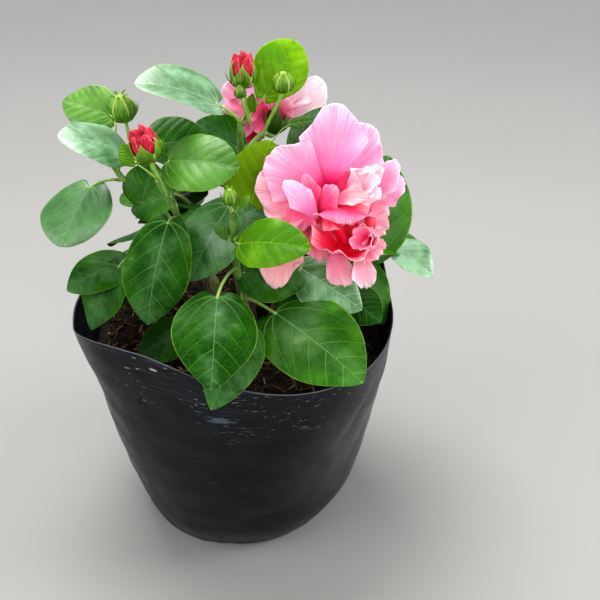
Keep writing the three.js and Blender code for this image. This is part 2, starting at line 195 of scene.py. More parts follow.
def bladeShapes(u, v, feet, middles, tips, facing, across, slide, lift, twist, thickness, materials, extra):
    # Thin closed blades, one for each foot. The centreline is the quadratic curve foot, middle, tip over v.
    # A point of u and v lies across to the side of it, slide further along and lift above it, and the blade
    # turns by twist about its length. The mark blade holds u, v and the side: 0 above, 1 underneath.
    t = v[None, :, None]
    foot, middle, tip = (p[:, None] for p in (feet, middles, tips))
    centre = (1 - t) ** 2 * foot + 2 * t * (1 - t) * middle + t**2 * tip
    along = unit((1 - t) * (middle - foot) + t * (tip - middle))
    side = unit(np.cross(along, facing[:, None]))
    out = np.cross(side, along)
    turn = twist[:, None, None] * (t - 0.3)
    side, out = side * np.cos(turn) + out * np.sin(turn), out * np.cos(turn) - side * np.sin(turn)
    centre, along, side, out = (x[:, :, None] for x in (centre, along, side, out))
    upper = centre + side * across[..., None] + along * slide[..., None] + out * lift[..., None]
    taper = (1 - np.abs(u) ** 3) * np.minimum(1, 12 * (1 - v[:, None]) + 0.15)
    under = upper - out * (thickness * taper)[None, ..., None]
    rings = np.concatenate([upper, under[:, :, -2:0:-1]], 2)
    count, rows, around = rings.shape[:3]
    ringU = np.concatenate([u, u[-2:0:-1]])
    sides = np.concatenate([np.zeros(len(u)), np.ones(len(u) - 2)])
    place = np.stack(np.broadcast_arrays(ringU, v[:, None], sides), -1).reshape(-1, 3)
    faces = shellFaces(rows, len(u))
    shapes = []
    for k in range(count):
        marks = {"blade": place}
        for name, values in extra.items():
            whole = np.concatenate([values[k], values[k][:, -2:0:-1]], 1)
            marks[name] = whole.reshape(rows * around, -1).squeeze()
        shapes.append({"points": rings[k].reshape(-1, 3), "faces": faces, "marks": marks,
                       "material": materials[k]})
    return shapes


def tubeShape(path, radii, sides, relief=None):
    # A round closed tube along a path of points. Relief multiplies its radius, rows by sides.
    # The mark along runs from 0 at the foot to 1 at the tip.
    along = unit(np.gradient(path, axis=0))
    spare = np.eye(3)[np.argmin(np.abs(path[-1] - path[0]))]
    first = unit(np.cross(along, spare))
    second = np.cross(along, first)
    turn = turnSteps(sides)
    radius = np.broadcast_to(np.asarray(radii, float)[:, None], (len(path), sides))
    radius = radius if relief is None else radius * relief
    spokes = first[:, None] * np.cos(turn)[:, None] + second[:, None] * np.sin(turn)[:, None]
    rings = path[:, None] + spokes * radius[..., None]
    part = np.broadcast_to(np.linspace(0, 1, len(path))[:, None], rings.shape[:2])
    return ringShape(rings, {"along": part})


# Shader wires

class Wire:
    # An output socket of a material's nodes. An expression on wires adds its Math nodes.
    def __init__(self, tree, socket=None):
        self.tree = tree
        self.socket = socket

    def add(self, kind, settings=None, inputs=None, output=0):
        # Any node: its settings come first, then the values or wires of its sockets
        node = self.tree.nodes.new(kind)
        for key, value in (settings or {}).items():
            if key == "stops":
                ramp = node.color_ramp
                ends = (ramp.elements[0], ramp.elements[1])
                for element, (place, color) in zip(ends, (value[0], value[-1])):
                    element.position, element.color = place, (*color, 1)
                for place, color in value[1:-1]:
                    ramp.elements.new(place).color = (*color, 1)
            else:
                setattr(node, key, value)
        for key, value in (inputs or {}).items():
            if isinstance(value, Wire):
                self.tree.links.new(value.socket, node.inputs[key])
            else:
                node.inputs[key].default_value = value
        return Wire(self.tree, node.outputs[output])

    def math(self, operation, *values):
        return self.add("ShaderNodeMath", {"operation": operation}, dict(enumerate(values)))

    def __add__(self, other):
        return self.math("ADD", self, other)

    def __sub__(self, other):
        return self.math("SUBTRACT", self, other)

    def __mul__(self, other):
        return self.math("MULTIPLY", self, other)

    def __truediv__(self, other):
        return self.math("DIVIDE", self, other)

    def __rsub__(self, other):
        return self.math("SUBTRACT", other, self)

    __radd__ = __add__
    __rmul__ = __mul__

    def size(self):
        return self.math("ABSOLUTE", self)

    def least(self, other):
        return self.math("MINIMUM", self, other)

    def most(self, other):
        return self.math("MAXIMUM", self, other)

    def ease(self, low, high, start=0, end=1):
        # Start below low and end above high, with an even ease between
        return self.add("ShaderNodeMapRange", {"interpolation_type": "SMOOTHSTEP"},
                        {"Value": self, "From Min": low, "From Max": high, "To Min": start, "To Max": end})

    def mix(self, under, over):
        # This wire is the mask that lays one colour over another
        return self.add("ShaderNodeMix", {"data_type": "RGBA"},
                        {0: self, 6: asColor(under), 7: asColor(over)}, output=2)

    def scaled(self, x, y, z):
        # A place with its axes stretched
        return self.add("ShaderNodeVectorMath", {"operation": "MULTIPLY"}, {0: self, 1: (x, y, z)})

    def noise(self, scale, detail=3, roughness=0.55):
        return self.add("ShaderNodeTexNoise", {}, {"Vector": self, "Scale": scale, "Detail": detail,
                                                   "Roughness": roughness})

    def near(self, point, low, high):
        # 1 within low of a point in millimetres, 0 beyond high
        away = self.add("ShaderNodeVectorMath", {"operation": "DISTANCE"},
                        {0: self, 1: tuple(x * mm for x in point)}, output="Value")
        return away.ease(low * mm, high * mm, 1, 0)


def asColor(value):
    # A wire as it is, or a plain colour with the fourth number that a socket asks for
    return value if isinstance(value, Wire) else (*value, 1)


def shade(color, factor):
    # A colour times one factor, or times a factor for each of its three parts
    return [float(c) for c in np.multiply(color, factor)]


def newMaterial(name, **fixed):
    # A material with its fixed values on the shader's own sockets, and a wire to start its nodes from
    material = bpy.data.materials.new(name)
    material.use_nodes = True
    surface = material.node_tree.nodes["Principled BSDF"]
    for key, value in fixed.items():
        surface.inputs[key.replace("_", " ")].default_value = value
    return material, Wire(material.node_tree), surface


def feed(surface, **wires):
    # Wires into the shader's own sockets
    for key, wire in wires.items():
        wire.tree.links.new(wire.socket, surface.inputs[key.replace("_", " ")])


def mark(start, name, output="Vector"):
    # A value that newPiece stored on the mesh's points
    return start.add("ShaderNodeAttribute", {"attribute_name": name}, output=output)


def objectPlace(start):
    # The place in metres, as every piece stands unmoved at the origin
    return start.add("ShaderNodeTexCoord", output="Object")


def parts(wire):
    # The three numbers of a vector
    return [wire.add("ShaderNodeSeparateXYZ", inputs={0: wire}, output=k) for k in range(3)]


def bumped(start, height, distance, strength=1.0):
    # The relief of a height from 0 to 1 that stands for distance millimetres
    return start.add("ShaderNodeBump", inputs={"Height": height, "Distance": distance * mm,
                                               "Strength": strength})


# Floor, light and camera

studio = {
    # The floor's side is in metres. Between two distances it turns paler, because the lamps don't reach it.
    "floorSide": 30, "floorColor": (0.30, 0.292, 0.28),
    "farFloor": (0.80, 0.80, 0.79), "farFrom": (400, 4500),
    "skyColor": (0.93, 0.97, 1.0), "skyStrength": 0.58,
    # Each light: place in metres, size in metres, power in watts
    "lights": {
        "overhead": ((-0.22, 0.45, 1.6), 0.85, 26),
        "leftFront": ((-1.5, -0.8, 1.1), 1.4, 18),
        "frontFill": ((0.7, -1.8, 0.8), 1.5, 17),
        "rightSheen": ((1.5, 0.0, 0.7), 0.7, 15),
    },
    "aim": (0, 0, 0.25),
    "look": "Medium High Contrast",
}


def makeStudio():
    # A wide level floor, an even sky, the lamps and the photo's camera
    half = studio["floorSide"] / 2
    mesh = bpy.data.meshes.new("floor")
    corners = [(-half, -half, 0), (half, -half, 0), (half, half, 0), (-half, half, 0)]
    mesh.from_pydata(corners, [], [(0, 1, 2, 3)])
    floor = bpy.data.objects.new("floor", mesh)
    bpy.context.scene.collection.objects.link(floor)
    material, start, surface = newMaterial("paleFloor", Roughness=0.85)
    place = objectPlace(start)
    close = (place.noise(90, 4) * 0.06 + place.near((0, 0, 0), *studio["farFrom"])).least(1)
    feed(surface, Base_Color=close.mix(studio["farFloor"], studio["floorColor"]))
    mesh.materials.append(material)
    world = bpy.data.worlds.new("softSky")
    world.use_nodes = True
    sky = world.node_tree.nodes["Background"]
    sky.inputs["Color"].default_value = (*studio["skyColor"], 1)
    sky.inputs["Strength"].default_value = studio["skyStrength"]
    bpy.context.scene.world = world
    for name, (place, size, power) in studio["lights"].items():
        lamp = bpy.data.lights.new(name, "AREA")
        lamp.size, lamp.energy = size, power
        light = bpy.data.objects.new(name, lamp)
        light.location = place
        aim = Vector(studio["aim"]) - Vector(place)
        light.rotation_euler = aim.to_track_quat("-Z", "Y").to_euler()
        bpy.context.scene.collection.objects.link(light)
    lens = bpy.data.cameras.new("photoView")
    lens.lens, lens.sensor_width, lens.clip_start = view["lens"], view["sensor"], 0.01
    camera = bpy.data.objects.new("photoView", lens)
    camera.location = [x * mm for x in view["place"]]
    camera.rotation_euler = (math.radians(90 - view["pitch"]), 0, 0)
    bpy.context.scene.collection.objects.link(camera)
    bpy.context.scene.camera = camera
    bpy.context.scene.view_settings.view_transform = "Standard"
    bpy.context.scene.view_settings.look = studio["look"]
    print("studio ready")


# The film bag

bag = {
    "columns": 300, "film": 0.9, "footRadius": 78, "meanRadius": 115, "topRadius": 123, "spreadFrom": 70,
    # Rings of points: radii under the flat foot, heights up its bend, then how many up the wall and the rim
    "footRings": (20, 50, 72), "bendRows": (0.001, 1, 2.5, 4.5, 7), "wallFrom": 10, "wallRows": 66,
    "rimRows": 25,
    # Height and radius where the foot's bend runs into the wall
    "bend": (16, 91.7),
    # The left wall is pressed in: not at all at the outer two heights, fully between the inner two
    "press": {"towards": 197, "spread": 68, "depth": 8.3, "heights": (0, 22, 138, 192)},
    # Heights and radii of the wall, up to where the wall begins to rise and fall with the rim
    "wall": [(6, 86), (16, 92), (30, 99.5), (60, 106), (105, 114), (143, 119.5)],
    # Angle from +X, radius and height of the soft rim
    "rim": [(0, 122, 188), (9, 119, 197), (18, 125.5, 207), (28, 128, 197), (45, 125, 188), (90, 122, 186),
            (135, 122, 187), (180, 122, 186), (191, 121.5, 185), (200, 121, 188), (210, 121.5, 198),
            (223, 118, 205), (236, 113, 208), (248, 110, 206), (258, 112, 201), (277, 120, 194),
            (292, 125, 187), (312, 130, 184), (330, 129, 186), (346, 125, 187)],
    # Soft creases: angle and height of the middle, slant from level, half length, half width and depth
    "creases": [(318, 128, 62, 46, 7, 1.2), (330, 96, 70, 40, 6, 1.1), (342, 140, 55, 38, 7, 1.4),
                (306, 92, -50, 34, 7, 0.7), (232, 120, -68, 45, 9, 0.5), (222, 70, -75, 38, 9, 0.4),
                (262, 150, 8, 42, 5, 0.5), (285, 60, 14, 40, 8, 0.5), (248, 92, -20, 30, 7, 0.4)],
    # Seeded ones besides: their number, and the range of each of those six measures
    "seededCreases": 26, "seed": 7,
    "seededWithin": [(0, 360), (30, 170), (-85, 85), (18, 46), (4, 9), (0.15, 0.75)],
    # Small pleats round the foot: their number, how deep they are and how high they fade
    "pleats": 19, "pleatDepth": 0.7, "pleatFade": 13,
    # Photo pixels of the torn hole, a white and a blue smear, and the middle of the painted sheen on the
    # right side
    "hole": (143, 402), "holeRadius": 3.4, "holeDepth": 1.6,
    "whiteSmear": (153, 370), "blueSmear": (222, 420), "paintedSheenSide": (362, 430),
}


def rounded(at, stations, values, period=None):
    # Straight runs from station to station, rounded by a mean over 16 degrees or millimetres
    return sum(np.interp(at + step, stations, values, period=period) for step in (-8, -4, 0, 4, 8)) / 5


def rimAt(degrees):
    # Radius and height of the rim at each angle
    turn, *measures = np.array(bag["rim"], float).T
    return [rounded(np.mod(degrees, 360), turn, measure, 360) for measure in measures]


def pressedIn(degrees, height):
    # How far the left wall is pressed in: most at its middle angle, less to both sides by a squared cosine
    press = bag["press"]
    off = np.minimum(np.abs(np.mod(degrees - press["towards"] + 180, 360) - 180), press["spread"])
    low, full, fade, high = press["heights"]
    rise = smooth(height, low, full) * (1 - smooth(height, fade, high))
    return press["depth"] * np.cos(off / press["spread"] * math.pi / 2) ** 2 * rise


def wallRadius(degrees, height):
    # The wall's radius at angles and heights: a round wall's, to which the rim's spread is added little by
    # little from spreadFrom up
    rimRadius, rimHeight = rimAt(degrees)
    heights, radii = np.array([(0, bag["footRadius"]), *bag["wall"]], float).T
    radius = rounded(height, heights, radii)
    top = np.clip((height - heights[-1]) / (rimHeight - heights[-1]), 0, 1)
    radius = radius + top * (bag["topRadius"] - radii[-1])
    spread = smooth((height - bag["spreadFrom"]) / (rimHeight - bag["spreadFrom"]), 0, 1)
    return radius + spread * (rimRadius - bag["topRadius"]) - pressedIn(degrees, height)


def onWall(x, y):
    # The place on the wall that the photo shows at pixel x, y: the first of the ray's steps that lies inside
    ray = np.array([fromPhoto(x, y, depth) for depth in np.arange(-150, 0, 0.25)])
    turn = np.degrees(np.arctan2(ray[:, 1], ray[:, 0]))
    inside = np.hypot(ray[:, 0], ray[:, 1]) < wallRadius(turn, ray[:, 2])
    return ray[np.argmax(inside)]


def creaseDepth(degrees, height):
    # How far the film is drawn in: narrow valleys that fade towards their ends, with a low ridge beside each
    random = np.random.default_rng(bag["seed"])
    seeded = [[random.uniform(*limits) for limits in bag["seededWithin"]]
              for _ in range(bag["seededCreases"])]
    depth = np.zeros(np.broadcast(degrees, height).shape)
    for turn, middle, slant, length, width, deep in [*bag["creases"], *seeded]:
        arc = np.radians(np.mod(degrees - turn + 180, 360) - 180) * bag["meanRadius"]
        rise = height - middle
        c, s = math.cos(math.radians(slant)), math.sin(math.radians(slant))
        along, off = arc * c + rise * s, rise * c - arc * s
        off = off + 0.1 * along * np.sin(along / length * 2)
        fade = 1 - smooth(np.abs(along) / length, 0.2, 1)
        ridge = 0.45 * np.exp(-((off - 2 * width) / width) ** 2)
        depth += deep * fade * (np.exp(-np.abs(off) / width) - ridge)
    return depth


def makeBag():
    # Rings of points: the underside from its middle out, the wall up to its lip, and the same back inside
    turn = np.arange(bag["columns"]) * 360 / bag["columns"]
    rimHeight = rimAt(turn)[1]
    wallTop = bag["wall"][-1][0]
    heights = np.concatenate([bag["bendRows"], np.linspace(bag["wallFrom"], wallTop, bag["wallRows"])])
    upper = np.linspace(0, 1, bag["rimRows"] + 1)[1:]
    z = np.vstack([np.broadcast_to(heights[:, None], (len(heights), len(turn))),
                   wallTop + upper[:, None] * (rimHeight - wallTop)])
    degrees = np.broadcast_to(turn, z.shape)
    radians = np.radians(degrees)
    ways = np.stack([np.cos(radians), np.sin(radians), np.zeros_like(z)], -1)
    lift = np.stack([np.zeros_like(z), np.zeros_like(z), z], -1)
    # The film bends up off the floor as a square root does
    bendHeight, bendRadius = bag["bend"]
    foot = bag["footRadius"] + (bendRadius - bag["footRadius"]) * np.sqrt(np.clip(z / bendHeight, 0, 1))
    radius = np.where(z < bendHeight, foot - pressedIn(degrees, z), wallRadius(degrees, z))
    cylinder = ways * bag["meanRadius"] + lift
    wave = 0.5 * ripples(cylinder, 75, 3) + 0.22 * ripples(cylinder, 26, 4) * smooth(z, 20, 60)
    pleats = np.abs(np.sin(bag["pleats"] / 2 * radians + ripples(cylinder, 90, 5)))
    pleats = bag["pleatDepth"] * pleats * np.exp(-z / bag["pleatFade"])
    pit = onWall(*bag["hole"])
    away = np.linalg.norm(ways * radius[..., None] + lift - pit, axis=-1)
    dimple = bag["holeDepth"] * (1 - smooth(away, 1.2, bag["holeRadius"]))
    lip = 0.3 * np.exp(-((rimHeight - z) / 1.3) ** 2)
    creases = creaseDepth(degrees, z)
    radius = radius - np.clip(creases, -1.0, 3.0) * smooth(z, 4, 25) + wave - pleats + lip
    outside = ways * (radius - dimple)[..., None] + lift
    inside = ways * (radius - bag["film"])[..., None] + np.maximum(lift, [0, 0, bag["film"]])
    inside[-1, :, 2] -= 0.05  # the lip slopes a hair inwards
    under = np.array([ways[0] * r for r in bag["footRings"]])
    above = under + [0, 0, bag["film"]]
    level = np.zeros(under.shape[:2])
    deep = np.concatenate([level, np.clip(creases, 0, 3) / 3])
    fromRim = np.concatenate([level + 99, rimHeight - z])  # the underside is far from the rim
    skins = [np.stack([deep, fromRim, np.full_like(deep, side)], -1) for side in (0, 1)]
    rings = np.concatenate([under, outside, inside[::-1], above[::-1]])
    film = np.concatenate([skins[0], skins[1][::-1]])
    newPiece("film_bag", [ringShape(rings, {"film": film})], [filmMaterial(pit)],
             ["bag", "bag_rim"])
    print("bag ready")


filmColors = {
    # The third colour below is painted sheen: a pale grey for the film's grazing reflection on its right
    # side
    "film": (0.0025, 0.003, 0.005), "dust": (0.007, 0.008, 0.0115), "paintedSheen": (0.050, 0.051, 0.056),
    "crease": (0.022, 0.024, 0.03), "scuff": (0.10, 0.11, 0.13), "speck": (0.26, 0.27, 0.30),
    # The last colour below is a painted highlight along the lip
    "blue": (0.10, 0.135, 0.16), "white": (0.4, 0.4, 0.42), "rim": (0.13, 0.135, 0.15),
    # The first colour below is painted shade: near-black for the dark inside of the torn hole
    "hole": (0.001, 0.001, 0.001), "crumb": (0.30, 0.20, 0.09), "inside": (0.012, 0.016, 0.026),
}


def flatSpot(place, point, reach, rise):
    # A level streak round a point in millimetres: full near it, 0 beyond reach sideways or rise up and down
    band = ((parts(place)[2] - point[2] * mm).size() / (rise * mm)).ease(0.4, 1, 1, 0)
    return place.near(point, reach * 0.3, reach) * band


def filmMaterial(pit):
    # Near-black film: cloudy dust, paler creases, level scuffs below the rim, a pale rim edge that is a
    # painted highlight, two smears, a painted sheen on the right side, and a torn hole whose near-black
    # middle is painted shade. The mark film gives a crease's depth, the way down from the rim, and 1 on the
    # inside.
    material, start, surface = newMaterial("blackFilm", Specular_IOR_Level=0.24)
    place = objectPlace(start)
    worn, fromRim, inside = parts(mark(start, "film"))
    cloud = place.noise(22, 5, 0.6)
    fine = place.noise(260, 3)
    lines = place.scaled(11, 11, 1100).noise(1, 4, 0.7).ease(0.55, 0.66)
    patches = place.scaled(1, 1, 2.5).noise(24, 3).ease(0.42, 0.6)
    nearRim = fromRim.ease(4, 58, 1, 0)
    specks = place.scaled(150, 150, 900).noise(1, 2).ease(0.64, 0.7)
    specks = specks * place.noise(45).ease(0.46, 0.58)
    scuff = (0.8 * lines * patches * (0.04 + nearRim) + 0.9 * specks * (0.2 + nearRim)).least(1)
    white = flatSpot(place, onWall(*bag["whiteSmear"]), 4, 1.3) * place.noise(700).ease(0.35, 0.5)
    blue = flatSpot(place, onWall(*bag["blueSmear"]), 14, 3.5)
    blue = blue * place.scaled(1, 1, 3).noise(150).ease(0.44, 0.54)
    folds = place.scaled(1, 1, 0.3).noise(55, 3).ease(0.36, 0.62)
    # Painted sheen: a pale grey patch round the middle of the right side, streaked along soft folds, stands
    # in for the film's grazing reflection there
    paintedSheen = place.near(onWall(*bag["paintedSheenSide"]), 8, 95) * (0.5 + 0.5 * folds)
    # Painted highlight: a pale band along the top edge of the lip
    rim = fromRim.ease(0.1, 0.9, 1, 0)
    dust = cloud.ease(0.42, 0.75) * (0.5 + 0.5 * fine)
    color = dust.mix(filmColors["film"], filmColors["dust"])
    color = paintedSheen.mix(color, filmColors["paintedSheen"])
    color = (worn * 0.5).mix(color, filmColors["crease"])
    color = (scuff * 0.5).mix(color, filmColors["scuff"])
    color = (0.75 * specks * (0.1 + nearRim)).least(1).mix(color, filmColors["speck"])
    color = (blue * 0.55).mix(color, filmColors["blue"])
    color = (white * 0.8).mix(color, filmColors["white"])
    color = (rim * 0.6).mix(color, filmColors["rim"])
    # Painted shade: a near-black disc round the pit stands in for the dark inside of the torn hole, which
    # the mesh has only as a shallow dimple
    color = place.near(pit, 2.2, 3.8).mix(color, filmColors["hole"])
    crumb = place.near(pit, 1.2, 2.6) * place.noise(600).ease(0.45, 0.55)
    color = crumb.mix(color, filmColors["crumb"])
    color = (inside * 0.5).mix(color, filmColors["inside"])
    rough = 0.27 + 0.2 * dust + 0.25 * scuff + 0.1 * fine
    height = cloud * 0.6 + fine * 0.08 + place.scaled(30, 30, 90).noise(1, 3) * 0.5 - scuff * 0.05
    feed(surface, Base_Color=color, Roughness=rough, Normal=bumped(start, height, 1.1, 0.55))
    return material


# The soil

soil = {
    "top": 148.2, "columns": 220, "rings": 64, "heave": 2.6, "clods": 1.1, "bank": 3, "seed": 21,
    # How far it keeps off the film, the radii of its rings underneath, and the heights of those at its side
    "topGap": 0.8, "sideGap": 2.6, "foot": 4, "footRings": (40, 74), "levels": (18, 30, 60, 105, 138),
    "clearOfWall": 9,
    "crumbs": 1700, "crumbSize": (1.0, 3.6), "husks": 1000, "huskLength": (4, 19), "huskWidth": (0.8, 3.0),
}


def soilHeight(x, y):
    # Low heaves away from the stems, clods all over, and a little more soil along the wall
    r = np.hypot(x, y)
    spot = np.stack([x, y, np.zeros_like(x)], -1)
    heave = soil["heave"] * ripples(spot, 62, soil["seed"]) * smooth(r, 30, 70)
    clods = ripples(spot, 11, soil["seed"] + 1) * 0.6 + ripples(spot, 4.5, soil["seed"] + 2) * 0.4
    return soil["top"] + heave + soil["clods"] * clods + soil["bank"] * smooth(r, 100, 119)


def makeSoil():
    # A closed filling: rings up the inside of the wall, then smaller and smaller ones over the top
    turn = np.arange(soil["columns"]) * 360 / soil["columns"]
    radians = np.radians(turn)
    edge = wallRadius(turn, soil["top"]) - bag["film"] - soil["topGap"]
    part = np.linspace(0.01, 1, soil["rings"])[::-1, None]
    x, y = part * edge * np.cos(radians), part * edge * np.sin(radians)
    top = np.stack([x, y, soilHeight(x, y)], -1)
    levels = [(soil["foot"], r) for r in soil["footRings"]]
    levels += [(z, wallRadius(turn, z) - bag["film"] - soil["sideGap"]) for z in soil["levels"]]
    sides = np.array([np.stack([np.cos(radians) * r, np.sin(radians) * r, np.full_like(turn, z)], -1)
                      for z, r in levels])
    rings = np.concatenate([sides, top])
    along = np.zeros(rings.shape[:2])
    newPiece("soil_bed", [ringShape(rings, {"along": along})], [soilMaterial()], ["soil"])
    makeCrumbs()
    makeHusks()
    print("soil ready")


def scatter(random, count):
    # Even random spots on the soil, by the square root of a random number, up to a little short of the wall
    turn = random.uniform(0, 360, count)
    r = np.sqrt(random.uniform(0, 1, count)) * (wallRadius(turn, soil["top"]) - soil["clearOfWall"])
    x, y = r * np.cos(np.radians(turn)), r * np.sin(np.radians(turn))
    return np.stack([x, y, soilHeight(x, y)], -1)


def makeCrumbs():
    # Angular lumps: an eight-sided gem, its corners moved at random and each lump turned its own way
    random = np.random.default_rng(soil["seed"] + 5)
    count = soil["crumbs"]
    gem = np.array([(1, 0, 0), (0, 1, 0), (-1, 0, 0), (0, -1, 0), (0, 0, 1), (0, 0, -1)], float)
    faces = np.array([(0, 1, 4), (1, 2, 4), (2, 3, 4), (3, 0, 4),
                      (1, 0, 5), (2, 1, 5), (3, 2, 5), (0, 3, 5)])
    size = random.uniform(*soil["crumbSize"], (count, 1, 1)) * random.uniform(0.6, 1.2, (count, 1, 3))
    lumps = (gem + random.normal(0, 0.16, (count, 6, 3))) * size / 2
    turned = np.linalg.qr(random.normal(size=(count, 3, 3)))[0]
    turned[:, :, 0] *= np.sign(np.linalg.det(turned))[:, None]
    lumps = np.einsum("nij,nkj->nki", turned, lumps) + scatter(random, count)[:, None] + [0, 0, 0.3]
    index = faces[None] + 6 * np.arange(count)[:, None, None]
    shape = {"points": lumps.reshape(-1, 3), "faces": [index.reshape(-1, 3)],
             "marks": {"along": np.repeat(random.uniform(0, 1, count), 6)}}
    newPiece("soil_crumbs", [shape], [soilMaterial("soilCrumb", 2.6)])


def makeHusks():
    # Husk and bark bits: short bent splinters, flat or steep, each a thin closed box with a raised middle
    random = np.random.default_rng(soil["seed"] + 9)
    count = soil["husks"]
    length = random.uniform(*soil["huskLength"], count) * random.uniform(0.5, 1, count)
    width = random.uniform(*soil["huskWidth"], count)
    turn, tilt = random.uniform(0, 2 * math.pi, count), random.normal(0, 0.28, count)
    ahead = np.stack([np.cos(turn) * np.cos(tilt), np.sin(turn) * np.cos(tilt), np.sin(tilt)], -1)
    side = unit(np.cross(ahead, [0, 0, 1]) + random.normal(0, 0.25, (count, 3)))
    side = unit(side - ahead * (side * ahead).sum(-1, keepdims=True))
    out = np.cross(side, ahead)
    middle = scatter(random, count) + [0, 0, 0.9]
    bend = random.uniform(-0.12, 0.2, count) * length
    # Four rings: how far along each stands, its share of the width and its share of the bend
    stations = [(-1, 0.35, 0), (-0.4, 1, 0.7), (0.4, 0.9, 0.7), (1, 0.25, 0)]
    rings = []
    for s, w, b in stations:
        centre = middle + ahead * (s * length / 2)[:, None] + out * (b * bend)[:, None]
        reach = side * (w * width / 2)[:, None]
        rings.append(np.stack([centre - reach, centre - out * 0.3, centre + reach, centre + out * 0.35], 1))
    points = np.stack(rings, 1).reshape(count, -1, 3)
    poles = np.stack([rings[0].mean(1), rings[-1].mean(1)], 1)
    points = np.concatenate([points, poles], 1)
    quads, fans = ringFaces(4, 4)
    steps = points.shape[1] * np.arange(count)[:, None, None]
    shape = {"points": points.reshape(-1, 3),
             "faces": [(quads + steps).reshape(-1, 4), (fans + steps).reshape(-1, 3)],
             "marks": {"along": np.repeat(random.uniform(0, 1, count), points.shape[1])}}
    newPiece("husk_bits", [shape], [huskMaterial()])


soilColors = {
    "dark": (0.006, 0.004, 0.003), "brown": (0.036, 0.023, 0.014), "speck": (0.09, 0.058, 0.032),
    # A husk's colour goes by its own tone, and its grain is darker
    "husk": [(0.0, (0.02, 0.012, 0.007)), (0.4, (0.07, 0.042, 0.02)), (0.72, (0.26, 0.165, 0.07)),
             (1.0, (0.55, 0.41, 0.22))],
    "grain": (0.05, 0.028, 0.016),
}


def soilMaterial(name="darkSoil", lighter=1.0):
    # Nearly black, browner in cloudy patches, with pale specks
    material, start, surface = newMaterial(name, Roughness=0.95, Specular_IOR_Level=0.25)
    place = objectPlace(start)
    coarse, fine = place.noise(120, 5, 0.65), place.noise(620, 3)
    dark, brown = shade(soilColors["dark"], lighter), shade(soilColors["brown"], lighter)
    color = coarse.ease(0.35, 0.68).mix(dark, brown)
    color = fine.ease(0.6, 0.75).mix(color, soilColors["speck"])
    feed(surface, Base_Color=color, Normal=bumped(start, coarse + 0.4 * fine, 1.6, 0.8))
    return material


def huskMaterial():
    # Each bit has a tone of its own, from black-brown to straw
    material, start, surface = newMaterial("paleHusk", Roughness=0.85, Specular_IOR_Level=0.3)
    tone = mark(start, "along", "Fac")
    color = start.add("ShaderNodeValToRGB", {"stops": soilColors["husk"]}, {0: tone})
    grain = objectPlace(start).noise(900, 2)
    color = grain.ease(0.3, 0.7, 0, 0.5).mix(color, soilColors["grain"])
    feed(surface, Base_Color=color, Normal=bumped(start, grain, 0.3))
    return material


# Stems and boughs

# Each limb: the points it bends through and its radius at both ends. A stem starts at the soil,
# and a bough starts on the limb named in on, at that part of its length.
limbs = {
    "stem_top": {"path": [(12, 14, 148.3), (9, 15, 215), (8, 18, 270), (10, 20, 322)], "radii": (5.6, 3)},
    "stem_front": {"path": [(14, -4, 148.3), (10, -20, 195), (7, -35, 240), (7, -46, 284)],
                   "radii": (4.8, 2.6)},
    "stem_left": {"path": [(-2, 4, 148.3), (-24, 5, 212), (-50, 4, 262), (-74, 4, 287), (-80, 5, 296)],
                  "radii": (4.8, 2.4)},
    "stem_middle": {"path": [(2, -6, 148.3), (-16, -12, 220), (-33, -20, 268), (-44, -26, 300)],
                    "radii": (4.4, 2.4)},
    "stem_right": {"path": [(24, 6, 148.3), (44, 4, 208), (64, 0, 250), (76, -8, 270)], "radii": (5, 3)},
    "stem_back": {"path": [(10, 27, 148.3), (4, 38, 210), (2, 50, 258), (0, 56, 276)], "radii": (4.6, 2.6)},
    "bough_left": {"on": "stem_left", "at": 0.44, "path": [(-50, -6, 234), (-68, -12, 236)],
                   "radii": (2.8, 2.2)},
    "bough_right": {"on": "stem_right", "at": 0.62, "path": [(78, 6, 238), (98, 6, 240)],
                    "radii": (3, 2.2)},
    "bough_back_right": {"on": "stem_right", "at": 0.36, "path": [(52, 24, 222), (56, 36, 240)],
                         "radii": (3, 2.2)},
    "bough_back_left": {"on": "stem_back", "at": 0.4, "path": [(-16, 40, 226), (-34, 40, 246)],
                        "radii": (2.8, 2.2)},
    "bough_bloom_back": {"on": "stem_top", "at": 0.72, "path": [(14, 36, 296), (24, 50, 304)],
                         "radii": (2.6, 2.2)},
}
bark = {
    "steps": 96, "sides": 22, "sunk": 1.5, "flare": 0.35, "flareHeight": 7, "ridges": 0.035,
    # Each leaf scar stands a part of a turn further round than the one below it, here in radians
    "wrinkles": 0.045, "scarSpacing": 15, "scarSwell": 0.13, "scarTurn": 2.4,
    # How much of its width a limb keeps at its tip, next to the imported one
    "slimmer": 0.8,
}
limbCurves = {}


def limbPoint(name, part):
    # The place at a part of a limb's length, from 0 at its foot to 1 at its tip
    curve = limbCurves[name]
    at = part * (len(curve) - 1)
    return np.array([np.interp(at, np.arange(len(curve)), curve[:, k]) for k in range(3)])


